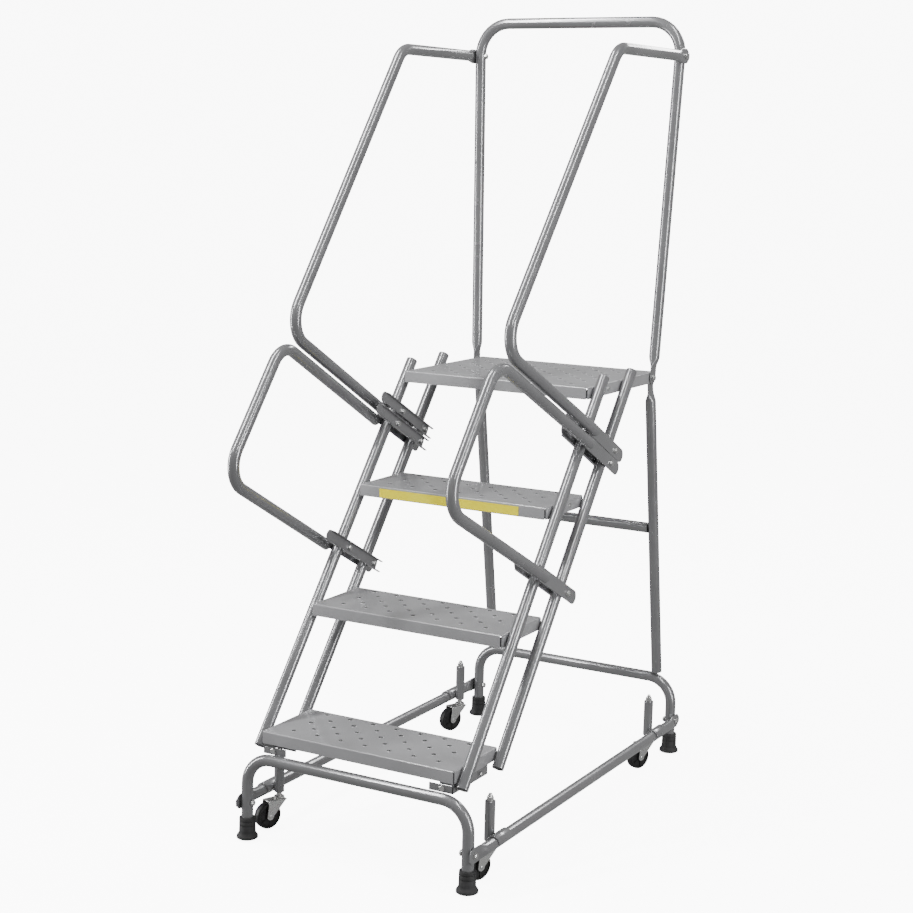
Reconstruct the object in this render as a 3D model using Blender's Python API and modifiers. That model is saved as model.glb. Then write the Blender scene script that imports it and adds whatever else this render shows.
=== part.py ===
"""Mobile ladder stand: four inclined stiles with three treads and a platform on two
inverted-U base frames, with guardrail, handrails, rubber feet and four sprung casters
that lift the feet off the floor until somebody steps on."""

import math

import bmesh
import bpy
from mathutils import Matrix, Vector

# ------------------------------------------------------------------ driving dimensions
# metres; X to the climber's right, Y from front to back, Z up, floor at Z = 0
FIT_GAP = 0.0003  # air kept between pieces that touch
TUBE_R = 0.0135  # all the structural tubes
TUBE_WALL = 0.0018
FLAT_THICK = 0.0036  # a tube end pressed flat: two walls
FLAT_HALF_WIDTH = 0.0180
FLAT_LENGTH = 0.040
FLAT_TAPER = 0.045
NOSE_RINGS = (0.15, 0.45, 1.0)  # sections of a flat's rounded nose, per half width
NOSE_LEAST = 0.12  # where the rounding starts, per half width

FIRST_RISE = 0.2667  # floor to the first tread, with the feet held off it
RISE = 0.254  # from one tread to the next
RUN = 0.199
TREAD_COUNT = 3  # below the platform
TREAD_DEPTH = 0.197
PLATFORM_DEPTH = 0.400
PAN_SKIRT = 0.028  # height of the turned-down rim of each tread
SHEET = 0.0018
PAN_BEND = 0.003

STILE_X = 0.264  # centre plane to a stile's axis
STILE_SETBACK = 0.045  # nosing to the front stile's axis, at tread height
STILE_SPACING = 0.160  # front stile to rear stile, along Y
STILE_BELOW = 0.041  # first tread's top to the stiles' lower ends
STILE_ABOVE = 0.020  # platform's top to the stiles' upper ends

LEG_OUTSET = 0.025  # stiles' axes to the base legs' axes
REAR_OVERHANG = 0.103  # platform's rear edge to the rear legs
BAR_BELOW = 0.066  # first tread's top to the base frames' bars
BASE_BEND_R = 0.065
RAIL_STANDOFF = 0.003  # leg's side to the side rail's axis, beyond the rail's radius
RAIL_TIP = 0.022  # flattened end past the leg's axis

FOOT_CLEARANCE = 0.005  # feet to floor while nobody stands on it
FOOT_SOLE = 0.010
FOOT_HEIGHT = 0.050
FOOT_R = 0.0192
FOOT_FLANGE_R = 0.0248
FOOT_FLANGE_HEIGHT = 0.007
FOOT_SHOULDER = 0.004  # height of the cone between flange and cup
FOOT_LIP = 0.001

LEG_TIP_BELOW = 0.008  # platform's top to the rear legs' upper ends
LEG_STANDOFF = 0.0035  # rear bar's side to the rear legs' lower ends
BRACE_BELOW = 0.413  # platform's top to the cross brace
BRACE_GAP = 0.0006  # brace's ends to the leaning rear legs
GUARD_SETBACK = 0.023  # platform's rear edge to the guardrail's bolts
GUARD_HEIGHT = 0.862  # above the platform
GUARD_OUTSET = 0.017  # stiles' axes to the guardrail's uprights at the top
GUARD_LEAN = 0.031  # how far back the top bar stands
GUARD_BEND_R = 0.078
GUARD_TIP_BELOW = 0.016  # corner bolts to the guardrail's lower ends

HANDRAIL_BEND_R = 0.062
RAIL_STEEPER = 0.0085  # how much less the handrails lean than the stiles, Y per Z
LEG_SLOPE = 0.53  # Z per Y down the legs that reach the stiles
HANDRAIL_DROP = 0.0825  # guardrail's top to the upper handrail's top
HANDRAIL_SETBACK = 0.027  # platform's front edge to the upper handrail's top bend
HANDRAIL_TOP_OUTSET = 0.023  # stiles' axes to the upper handrail's top run
HANDRAIL_LOW_OUTSET = 0.009  # stiles' axes to the handrails' front bends
HANDRAIL_TIP = 0.020  # flattened end past the bolt
UPPER_CLAMP_BELOW = 0.097  # platform's top to the upper leg on the front stile
LOWER_CLAMP_BELOW = 0.399
CLAMP_PITCH = 0.0345  # between the two clamps that lie side by side

PLATE_HALF_WIDTH = 0.0168
PLATE_THICK = 0.003
PLATE_LIFT = 0.008  # handrail leg's axis to the middle of its plate
PLATE_AHEAD = 0.030  # front stile's axis to the outer plate's front end, along it
PLATE_BEHIND = 0.070  # rear stile's axis to the outer plate's rear end
LEG_END_AHEAD = 0.008  # front stile's axis to the end of a handrail's leg, along Y
LEG_SINK = 0.0021  # how deep a leg's side is let into its plate
BAR_HALF_WIDTH = 0.0142
BAR_AHEAD = 0.088
BAR_BEHIND = 0.034
LIP_DEPTH = 0.007  # the inner bar's turned edges
LIP_BEHIND = 0.050  # the edges run on past the bar's end
LIP_OVERLAP = 0.0002
BOLT_R = 0.004
BOLT_OFFSET = 0.003  # stile's side to a clamp bolt's axis, beyond the bolt's radius
HEAD_R = 0.0072
HEAD_HEIGHT = 0.005
BOLT_TAIL = 0.0015  # thread past the nut
WELD_DEPTH = 0.0005

POST_R = 0.0118
POST_WALL = 0.0020
POST_LENGTH = 0.092
POST_RISE = 0.010  # race to the post's lower end
POST_STANDOFF = 0.0006  # side rail's side to the post's
RAIL_ABOVE_POST = 0.008  # post's lower end to the side rail's axis
FRONT_POST_Y = 0.113
REAR_POST_SETBACK = 0.023  # platform's rear edge to the rear posts
SADDLE_LENGTH = 0.062
SADDLE_THICK = 0.003

WHEEL_R = 0.03175
WHEEL_HALF_WIDTH = 0.0105
WHEEL_HUB_R = 0.009
WHEEL_TREAD = 0.006
WHEEL_EDGE = 0.003  # rounding of the tyre's shoulders
WHEEL_DISH = 0.002
TRAIL = 0.032  # swivel axis to axle
CASTER_TURN = math.radians(22)  # how far the forks are turned from facing front
AXLE_R = 0.004
AXLE_HEAD = 0.0015
FORK_SHEET = 0.0025
FORK_GAP = 0.0020  # wheel's side to fork leg
FORK_EYE_R = 0.009
FORK_NOSE = 0.004  # crown past the axle
FORK_CHEEK = 0.012  # height of a leg at the swivel
FORK_EYE_END = math.radians(333)  # where the eye's round runs out into the leg
CROWN_CLEARANCE = 0.0042  # wheel's top to the fork's top
RACE_HEIGHT = 0.005
STEM_R = 0.0064
RACE_R = 0.0125
STUD_LENGTH = 0.016  # kingpin above the post
NUT_R = 0.0085
NUT_HEIGHT = 0.008
COLLAR_RISE = 0.014  # post's lower end to the stem's collar
COLLAR_HEIGHT = 0.004
KINGPIN_R = 0.0042
SPRING_R = 0.0082
SPRING_WIRE_R = 0.0010
SPRING_TURNS = 6

BRACKET_THICK = 0.003
BRACKET_FACE_WIDTH = 0.060
BRACKET_DEPTH = 0.155

# ------------------------------------------------------------------------ derived sizes
PLATFORM_Z = FIRST_RISE + RISE * TREAD_COUNT
PLATFORM_FRONT_Y = RUN * TREAD_COUNT
PLATFORM_REAR_Y = PLATFORM_FRONT_Y + PLATFORM_DEPTH
BASE_LENGTH = PLATFORM_REAR_Y + REAR_OVERHANG
BASE_HALF_WIDTH = STILE_X + LEG_OUTSET
BASE_BAR_Z = FIRST_RISE - BAR_BELOW
RAIL_X = BASE_HALF_WIDTH + TUBE_R + RAIL_STANDOFF
STILE_BOTTOM_Z = FIRST_RISE - STILE_BELOW
STILE_TOP_Z = PLATFORM_Z + STILE_ABOVE
PAN_HALF_WIDTH = STILE_X - TUBE_R - FIT_GAP
CORNER_BOLT_Z = PLATFORM_Z - PAN_SKIRT / 2
LEG_TOP_Z = PLATFORM_Z - LEG_TIP_BELOW
LEG_X = PAN_HALF_WIDTH - SHEET - FIT_GAP - FLAT_THICK / 2
BRACE_Z = PLATFORM_Z - BRACE_BELOW
GUARD_X = PAN_HALF_WIDTH + FIT_GAP + FLAT_THICK / 2
GUARD_TOP_X = STILE_X + GUARD_OUTSET
GUARD_Y = PLATFORM_REAR_Y - GUARD_SETBACK
GUARD_TIP_Z = CORNER_BOLT_Z - GUARD_TIP_BELOW
GUARD_TOP_Z = PLATFORM_Z + GUARD_HEIGHT
UPPER_TOP_Z = GUARD_TOP_Z - HANDRAIL_DROP
UPPER_TOP_Y = PLATFORM_FRONT_Y + HANDRAIL_SETBACK
HANDRAIL_LEAN = RUN / RISE - RAIL_STEEPER
PLATE_FACE_X = STILE_X + TUBE_R + FIT_GAP
LEG_END_X = PLATE_FACE_X + PLATE_THICK - LEG_SINK + TUBE_R
CROWN_Z = 2 * WHEEL_R + CROWN_CLEARANCE
RACE_Z = CROWN_Z + RACE_HEIGHT
POST_BOTTOM_Z = RACE_Z + POST_RISE
POST_TOP_Z = POST_BOTTOM_Z + POST_LENGTH
POST_X = RAIL_X - TUBE_R - POST_STANDOFF - POST_R
RAIL_Z = POST_BOTTOM_Z + RAIL_ABOVE_POST
COLLAR_Z = POST_BOTTOM_Z + COLLAR_RISE
STEM_TOP_Z = POST_TOP_Z + STUD_LENGTH
BOLT_HOLE_R = BOLT_R + FIT_GAP

SIDES = (-1, 1)
BASE_ROWS = (("front", 0.0), ("rear", BASE_LENGTH))
POST_ROWS = (("front", FRONT_POST_Y), ("rear", PLATFORM_REAR_Y - REAR_POST_SETBACK))

COLLECTION = "mobile_ladder_stand"
TUBE_SMOOTH = 4  # bevel resolution of the tubes: 12 sides
BEND_STEPS = 5
TAPER_STEPS = 4
ARC_STEPS = 6  # half-round plate ends
SADDLE_STEPS = 8
ROD_SIDES = 12
SPRING_SIDES = 8  # per turn


# ------------------------------------------------------------------------------ helpers
def clear_scene():
    for thing in list(bpy.data.objects):
        bpy.data.objects.remove(thing, do_unlink=True)


def make_collection(name):
    made = bpy.data.collections.new(name)
    bpy.context.scene.collection.children.link(made)
    return made


def make_material(name, color, roughness, metallic):
    made = bpy.data.materials.new(name)
    made.use_nodes = True
    shader = made.node_tree.nodes["Principled BSDF"]
    shader.inputs["Base Color"].default_value = (*color, 1.0)
    shader.inputs["Roughness"].default_value = roughness
    shader.inputs["Metallic"].default_value = metallic
    return made


def add_object(name, mesh, look, parent=None, location=(0, 0, 0), rotation=(0, 0, 0)):
    made = bpy.data.objects.new(name, mesh)
    parts.objects.link(made)
    made.location = location
    made.rotation_euler = rotation
    made.parent = parent
    if look is not None:
        mesh.materials.clear()
        mesh.materials.append(LOOKS[look].copy())
        mesh.materials[0].name = name
    shade(mesh)
    return made


def shade(mesh, angle=math.radians(35)):
    mesh.shade_smooth()
    mesh.set_sharp_from_angle(angle=angle)


def as_tool(thing):
    """Turns an object into a helper that only modifiers read."""
    parts.objects.unlink(thing)
    tools.objects.link(thing)
    thing.hide_render = True
    thing.display_type = "WIRE"
    return thing


def combine(target, tool, operation):
    step = target.modifiers.new(f"{operation.lower()} {tool.name}", "BOOLEAN")
    step.operation = operation
    step.solver = "EXACT"
    step.object = tool


def box_mesh(name, low, high):
    mesh = bpy.data.meshes.new(name)
    bm = bmesh.new()
    bmesh.ops.create_cube(bm, size=1)
    for v in bm.verts:
        v.co = Vector([low[k] if v.co[k] < 0 else high[k] for k in range(3)])
    bm.to_mesh(mesh)
    bm.free()
    return mesh


def rod_mesh(name, radius, length):
    """A cylinder along X, centred on its own origin."""
    mesh = bpy.data.meshes.new(name)
    bm = bmesh.new()
    bmesh.ops.create_cone(
        bm, cap_ends=True, segments=ROD_SIDES, radius1=radius, radius2=radius,
        depth=length, matrix=Matrix.Rotation(math.pi / 2, 4, "Y"),
    )
    bm.to_mesh(mesh)
    bm.free()
    return mesh


def turned(name, profile, look, sides=24, closed=False, **place):
    """Screw-modifier solid about Z; the profile lists (radius, height) top to bottom."""
    mesh = bpy.data.meshes.new(name)
    bm = bmesh.new()
    points = [bm.verts.new((radius, 0, height)) for radius, height in profile]
    pairs = list(zip(points, points[1:]))
    if closed:
        pairs.append((points[-1], points[0]))
    for pair in pairs:
        bm.edges.new(pair)
    bm.to_mesh(mesh)
    bm.free()
    made = add_object(name, mesh, look, **place)
    screw = made.modifiers.new("turn", "SCREW")
    screw.angle = 2 * math.pi
    screw.steps = sides
    screw.render_steps = sides
    screw.use_merge_vertices = True
    screw.merge_threshold = 0.00001
    screw.use_smooth_shade = True
    return made


def rounded_path(corners, radius):
    """The corners' polyline with each inner corner replaced by an arc."""
    path = [Vector(corners[0])]
    for before, corner, after in zip(corners, corners[1:], corners[2:]):
        corner = Vector(corner)
        back = (Vector(before) - corner).normalized()
        ahead = (Vector(after) - corner).normalized()
        half = back.angle(ahead) / 2
        centre = corner + (back + ahead).normalized() * radius / math.sin(half)
        start = corner + back * radius / math.tan(half)
        spoke = start - centre
        axis = back.cross(ahead).normalized()
        sweep = math.pi - 2 * half
        for k in range(BEND_STEPS + 1):
            turn = Matrix.Rotation(-sweep * k / BEND_STEPS, 4, axis)
            path.append(centre + turn @ spoke)
    path.append(Vector(corners[-1]))
    return path


def with_end_rings(path, at_end=True):
    """Adds the cross-sections that a flattened end needs at a path's start, and at
    its end too unless that one stays round."""
    marks = [share * FLAT_HALF_WIDTH for share in NOSE_RINGS]
    steps = range(TAPER_STEPS + 1)
    marks += [FLAT_LENGTH + FLAT_TAPER * k / TAPER_STEPS for k in steps]
    found = list(path)
    ahead = (found[1] - found[0]).normalized()
    found[1:1] = [found[0] + ahead * m for m in marks]
    if at_end:
        back = (found[-2] - found[-1]).normalized()
        found[-1:-1] = [found[-1] + back * m for m in reversed(marks)]
    return found


def mesh_from_curve(name, data, points, cyclic=False):
    """The mesh of a curve through the points, with its caps welded on."""
    line = data.splines.new("POLY")
    line.use_cyclic_u = cyclic
    line.points.add(len(points) - 1)
    for point, place_at in zip(line.points, points):
        point.co = (*place_at, 1)
    curve = bpy.data.objects.new(name, data)
    parts.objects.link(curve)
    seen = curve.evaluated_get(bpy.context.evaluated_depsgraph_get())
    mesh = bpy.data.meshes.new_from_object(seen)
    bpy.data.objects.remove(curve, do_unlink=True)
    bm = bmesh.new()
    bm.from_mesh(mesh)
    bmesh.ops.remove_doubles(bm, verts=bm.verts, dist=0.00001)
    bmesh.ops.recalc_face_normals(bm, faces=bm.faces)
    bm.to_mesh(mesh)
    bm.free()
    return mesh


def tube(name, path, look, radius=TUBE_R, smooth=TUBE_SMOOTH, **place):
    """A round bar along a path."""
    data = bpy.data.curves.new(name, "CURVE")
    data.dimensions = "3D"
    data.bevel_depth = radius
    data.bevel_resolution = smooth
    data.use_fill_caps = True
    return add_object(name, mesh_from_curve(name, data, path), look, **place)


def flat_mesh(name, outline, thickness):
    """A plate of an outline in its own XY plane, centred on Z = 0."""
    data = bpy.data.curves.new(name, "CURVE")
    data.dimensions = "2D"
    data.fill_mode = "BOTH"
    data.extrude = thickness / 2
    return mesh_from_curve(name, data, [(x, y, 0) for x, y in outline], cyclic=True)


def arc(centre, radius, start, end, steps):
    """Points along an arc, both ends included."""
    turns = [start + (end - start) * k / steps for k in range(steps + 1)]
    return [
        (centre[0] + radius * math.cos(t), centre[1] + radius * math.sin(t)) for t in turns
    ]


def flatten_end(made, tip, inward, shift=0.0):
    """Presses a tube's end flat across X: full flat for a length, then a taper.
    shift moves the flat along X from the tube's axis."""
    inward = Vector(inward).normalized()
    across = inward.cross(Vector((1, 0, 0))).normalized()
    tip = Vector(tip)
    for v in made.data.vertices:
        away = v.co - tip
        depth = away.dot(inward)
        wide = away.dot(across)
        thin = (away - inward * depth).x
        if depth > FLAT_LENGTH + FLAT_TAPER or depth < -TUBE_R:
            continue
        if max(abs(wide), abs(thin)) > 2 * TUBE_R:
            continue
        share = min(max((depth - FLAT_LENGTH) / FLAT_TAPER, 0.0), 1.0)
        share = share * share * (3 - 2 * share)
        half = FLAT_THICK / 2
        nose = min(max(depth / FLAT_HALF_WIDTH, NOSE_LEAST), 1.0)
        rounding = math.sqrt(1 - (1 - nose) ** 2)
        flat_thin = min(max(thin * 2 * half / TUBE_R, -half), half) + shift
        flat_wide = wide * FLAT_HALF_WIDTH / TUBE_R * rounding
        v.co += across * ((1 - share) * (flat_wide - wide))
        v.co.x += (1 - share) * (flat_thin - thin)
    shade(made.data)


def bore(made, name, centre, radius, length):
    """Cuts a round hole along X."""
    cutter = add_object(name, rod_mesh(name, radius, length), None)
    cutter.location = centre
    combine(made, as_tool(cutter), "DIFFERENCE")


def join(made, name, mesh):
    combine(made, as_tool(add_object(name, mesh, None)), "UNION")


def bolt_profile(grip):
    """Head at the top, nut at the bottom, the grip between them centred on Z = 0."""
    top = grip / 2
    low = -grip / 2
    return [
        (0, top + HEAD_HEIGHT),
        (HEAD_R, top + HEAD_HEIGHT),
        (HEAD_R, top),
        (BOLT_R, top),
        (BOLT_R, low),
        (HEAD_R, low),
        (HEAD_R, low - HEAD_HEIGHT),
        (BOLT_R, low - HEAD_HEIGHT),
        (BOLT_R, low - HEAD_HEIGHT - BOLT_TAIL),
        (0, low - HEAD_HEIGHT - BOLT_TAIL),
    ]


def across_bolt(name, centre, grip, side):
    """A bolt along X with its head on the outboard side."""
    return turned(
        name, bolt_profile(grip), "zinc", sides=6,
        location=centre, rotation=(0, side * math.pi / 2, 0),
    )


def at_side(side, x, y, z):
    return Vector((side * x, y + SHIFT_Y, z))


# --------------------------------------------------------------------------- base frames
def base_frame(name, y):
    low = FOOT_CLEARANCE + FOOT_SOLE + FIT_GAP
    corners = [
        at_side(-1, BASE_HALF_WIDTH, y, low),
        at_side(-1, BASE_HALF_WIDTH, y, BASE_BAR_Z),
        at_side(1, BASE_HALF_WIDTH, y, BASE_BAR_Z),
        at_side(1, BASE_HALF_WIDTH, y, low),
    ]
    made = tube(name, rounded_path(corners, BASE_BEND_R), "enamel")
    for side in SIDES:
        hole = at_side(side, BASE_HALF_WIDTH, y, RAIL_Z)
        bore(made, f"{name} bolt hole {side}", hole, BOLT_HOLE_R, 4 * TUBE_R)


def foot(name, side, y):
    """A rubber tip: a cup with a wide sole."""
    bore_r = TUBE_R + FIT_GAP
    profile = [
        (bore_r, FOOT_HEIGHT),
        (FOOT_R - FOOT_LIP, FOOT_HEIGHT),
        (FOOT_R, FOOT_HEIGHT - 2 * FOOT_LIP),
        (FOOT_R, FOOT_FLANGE_HEIGHT + FOOT_SHOULDER),
        (FOOT_FLANGE_R, FOOT_FLANGE_HEIGHT),
        (FOOT_FLANGE_R, 0),
        (0, 0),
    ]
    inside = [(0, FOOT_SOLE), (bore_r, FOOT_SOLE)]
    return turned(
        name, inside + profile, "rubber", sides=20,
        location=at_side(side, BASE_HALF_WIDTH, y, FOOT_CLEARANCE),
    )


def side_rail(name, side):
    ends = [-RAIL_TIP, BASE_LENGTH + RAIL_TIP]
    path = with_end_rings([at_side(side, RAIL_X, y, RAIL_Z) for y in ends])
    made = tube(name, path, "enamel")
    flat_x = BASE_HALF_WIDTH + TUBE_R + FIT_GAP + FLAT_THICK / 2
    for tip, inward in ((path[0], (0, 1, 0)), (path[-1], (0, -1, 0))):
        flatten_end(made, tip, inward, side * (flat_x - RAIL_X))
    for label, y in BASE_ROWS:
        hole = at_side(side, flat_x, y, RAIL_Z)
        bore(made, f"{name} {label} hole", hole, BOLT_HOLE_R, 4 * FLAT_THICK)
        grip = 2 * TUBE_R + FLAT_THICK + 3 * FIT_GAP
        middle = at_side(side, BASE_HALF_WIDTH + FLAT_THICK / 2 + FIT_GAP / 2, y, RAIL_Z)
        across_bolt(f"rail_bolt_{label}_{side_name(side)}", middle, grip, side)


def side_name(side):
    return "left" if side < 0 else "right"


# ------------------------------------------------------------------- stiles and treads
def stile_point(z, setback):
    """A point of a stile's axis: the nosing line moved back."""
    return (z - FIRST_RISE) * RUN / RISE + setback


def stile(name, side, setback):
    """An open tube leaning back at the pitch of the stair."""
    lean = math.atan2(RUN, RISE)
    length = (STILE_TOP_Z - STILE_BOTTOM_Z) / math.cos(lean)
    middle_z = (STILE_TOP_Z + STILE_BOTTOM_Z) / 2
    inner = TUBE_R - TUBE_WALL
    profile = [
        (TUBE_R, length / 2),
        (TUBE_R, -length / 2),
        (inner, -length / 2),
        (inner, length / 2),
    ]
    turned(
        name, profile, "enamel", closed=True,
        location=at_side(side, STILE_X, stile_point(middle_z, setback), middle_z),
        rotation=(-lean, 0, 0),
    )


def pan(name, front_y, depth, top_z):
    """A folded sheet tread: a flat top with its four edges turned down."""
    mesh = box_mesh(
        name,
        (-PAN_HALF_WIDTH, front_y + SHIFT_Y, top_z - PAN_SKIRT),
        (PAN_HALF_WIDTH, front_y + depth + SHIFT_Y, top_z),
    )
    bm = bmesh.new()
    bm.from_mesh(mesh)
    below = [f for f in bm.faces if f.normal.z < -0.5]
    bmesh.ops.delete(bm, geom=below, context="FACES_ONLY")
    folds = [e for e in bm.edges if len(e.link_faces) == 2]
    bmesh.ops.bevel(
        bm, geom=folds, offset=PAN_BEND, segments=2, profile=0.5, affect="EDGES"
    )
    bm.to_mesh(mesh)
    bm.free()
    made = add_object(name, mesh, "tread")
    sheet = made.modifiers.new("sheet", "SOLIDIFY")
    sheet.thickness = SHEET
    sheet.offset = -1
    sheet.use_even_offset = True
    return made


def base_bracket(name, side):
    """An angle of plate on the front bar, bolted up inside the first tread."""
    low = BASE_BAR_Z + TUBE_R + FIT_GAP
    high = FIRST_RISE - SHEET - FIT_GAP
    outer = PAN_HALF_WIDTH - PAN_BEND - FIT_GAP
    front = PAN_BEND + FIT_GAP
    face = box_between(
        name, side, (outer - BRACKET_FACE_WIDTH, front, low),
        (outer, front + BRACKET_THICK, high),
    )
    made = add_object(name, face, "enamel")
    side_plate = box_between(
        f"{name} side plate", side, (outer - BRACKET_THICK, front, low),
        (outer, front + BRACKET_DEPTH, high),
    )
    join(made, f"{name} side plate", side_plate)


def box_between(name, side, low, high):
    """A box given for the right side, mirrored to the left when side is -1."""
    xs = sorted((side * low[0], side * high[0]))
    return box_mesh(
        name, (xs[0], low[1] + SHIFT_Y, low[2]), (xs[1], high[1] + SHIFT_Y, high[2])
    )


# ------------------------------------------------------------ rear legs and guardrail
def rear_leg(name, side):
    top = at_side(side, LEG_X, leg_y(LEG_TOP_Z), LEG_TOP_Z)
    foot_z = BASE_BAR_Z + TUBE_R + LEG_STANDOFF
    low = at_side(side, LEG_X, leg_y(foot_z), foot_z)
    made = tube(name, with_end_rings([top, low], at_end=False), "enamel")
    flatten_end(made, top, low - top)
    hole = at_side(side, LEG_X, GUARD_Y, CORNER_BOLT_Z)
    bore(made, f"{name} bolt hole", hole, BOLT_HOLE_R, 6 * FLAT_THICK)
    return made


def leg_y(z):
    """The rear legs run from the corner bolts down to the rear bar's top."""
    share = (CORNER_BOLT_Z - z) / (CORNER_BOLT_Z - BASE_BAR_Z)
    return GUARD_Y + share * (BASE_LENGTH - GUARD_Y)


def rear_brace():
    reach = LEG_X - TUBE_R - BRACE_GAP
    ends = [at_side(side, reach, leg_y(BRACE_Z), BRACE_Z) for side in SIDES]
    tube("rear_cross_brace", ends, "enamel")


def guardrail():
    low = [at_side(side, GUARD_X, GUARD_Y, GUARD_TIP_Z) for side in SIDES]
    top = [at_side(s, GUARD_TOP_X, GUARD_Y + GUARD_LEAN, GUARD_TOP_Z) for s in SIDES]
    path = rounded_path([low[0], top[0], top[1], low[1]], GUARD_BEND_R)
    made = tube("guardrail", with_end_rings(path), "enamel")
    for side, tip, corner in zip(SIDES, low, top):
        flatten_end(made, tip, corner - tip)
        hole = at_side(side, GUARD_X, GUARD_Y, CORNER_BOLT_Z)
        bore(made, f"guardrail bolt hole {side}", hole, BOLT_HOLE_R, 4 * FLAT_THICK)
        hole = at_side(side, *guard_axis(UPPER_TOP_Z))
        bore(made, f"guardrail top hole {side}", hole, BOLT_HOLE_R, 4 * TUBE_R)


def guard_axis(z):
    """X, Y and Z of the guardrail's upright at a height."""
    share = (z - GUARD_TIP_Z) / (GUARD_TOP_Z - GUARD_TIP_Z)
    x = GUARD_X + share * (GUARD_TOP_X - GUARD_X)
    return x, GUARD_Y + share * GUARD_LEAN, z


def corner_bolt(side):
    """Through the guardrail's flat, the platform's skirt and the leg's flat."""
    inner = LEG_X - FLAT_THICK / 2 - FIT_GAP
    outer = guard_axis(CORNER_BOLT_Z)[0] + FLAT_THICK / 2 + 2 * FIT_GAP
    middle = at_side(side, (inner + outer) / 2, GUARD_Y, CORNER_BOLT_Z)
    across_bolt(f"corner_bolt_{side_name(side)}", middle, outer - inner, side)


# ---------------------------------------------------------------------------- handrails
def leg_level(below):
    """Height at Y = 0 of the leg line that meets the front stile below the platform."""
    z = PLATFORM_Z - below
    return z + LEG_SLOPE * stile_point(z, STILE_SETBACK)


def leg_z(y, level):
    return level - LEG_SLOPE * y


def stile_crossing(level, setback):
    """Y where a leg line meets a stile's axis."""
    lean = RUN / RISE
    return (setback + lean * (level - FIRST_RISE)) / (1 + lean * LEG_SLOPE)


def front_bend(level):
    """Corner where a leg line meets the handrails' slanted line."""
    at_zero = UPPER_TOP_Z - UPPER_TOP_Y / HANDRAIL_LEAN
    y = (level - at_zero) / (1 / HANDRAIL_LEAN + LEG_SLOPE)
    return STILE_X + HANDRAIL_LOW_OUTSET, y, leg_z(y, level)


def leg_end(level):
    """Where a handrail's leg stops, against the outer side of the front stile."""
    y = stile_crossing(level, STILE_SETBACK) - LEG_END_AHEAD
    return LEG_END_X, y, leg_z(y, level)


def clamp_levels():
    """Leg lines of the upper handrail and of the lower one's two ends."""
    upper = leg_level(UPPER_CLAMP_BELOW)
    middle = upper - CLAMP_PITCH * math.hypot(1, LEG_SLOPE)
    return upper, middle, leg_level(LOWER_CLAMP_BELOW)


def loop_corners():
    """Corners of the lower handrail, from its upper leg to its lower one."""
    middle, lower = clamp_levels()[1:]
    return [leg_end(middle), front_bend(middle), front_bend(lower), leg_end(lower)]


def clamp_axis(leg):
    """Level of the clamp's own middle line for a leg's level."""
    return leg + PLATE_LIFT * math.hypot(1, LEG_SLOPE)


def clamp_frame(side, x, level, along):
    """Local X down the clamp, Y across it, Z along the world's X; the origin lies
    on the clamp's line, along from where it meets the front stile."""
    down = Vector((0, 1, -LEG_SLOPE)).normalized()
    y = stile_crossing(level, STILE_SETBACK)
    frame = Matrix.Identity(4)
    frame.col[0].xyz = down
    frame.col[1].xyz = Vector((0, LEG_SLOPE, 1)).normalized()
    frame.col[2].xyz = (1, 0, 0)
    frame.translation = at_side(side, x, y, leg_z(y, level)) + down * along
    return frame


def stile_pitch():
    """Distance between the two stiles' axes along a clamp."""
    gap = stile_crossing(0, STILE_SPACING) - stile_crossing(0, 0)
    return gap * math.hypot(1, LEG_SLOPE)


def plate_mesh(name, length, half_width, round_end):
    """A flat plate in XY with one end half round; round_end is 1 or -1 along X."""
    reach = length / 2
    outline = [(-reach, half_width), (-reach, -half_width)]
    turn = math.pi / 2
    outline += arc((reach - half_width, 0), half_width, -turn, turn, ARC_STEPS)
    return flat_mesh(name, [(round_end * x, y) for x, y in outline], PLATE_THICK)


def clamp_bolts(side, level):
    """Axes of the two bolts, just behind each stile."""
    reach = TUBE_R + BOLT_R + BOLT_OFFSET
    return [clamp_frame(side, STILE_X, level, reach + at) for at in (0, stile_pitch())]


def add_outer_plate(rail, side, leg):
    """Welds a clamp's outer plate to a handrail's leg."""
    name = f"{rail.name} plate {leg:.2f}"
    level = clamp_axis(leg)
    length = PLATE_AHEAD + stile_pitch() + PLATE_BEHIND
    web = add_object(name, plate_mesh(name, length, PLATE_HALF_WIDTH, 1), None)
    x = PLATE_FACE_X + PLATE_THICK / 2
    web.matrix_world = clamp_frame(side, x, level, length / 2 - PLATE_AHEAD)
    combine(rail, as_tool(web), "UNION")
    for k, frame in enumerate(clamp_bolts(side, level)):
        bore(rail, f"{name} hole {k}", frame.translation, BOLT_HOLE_R, 8 * TUBE_R)


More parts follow.
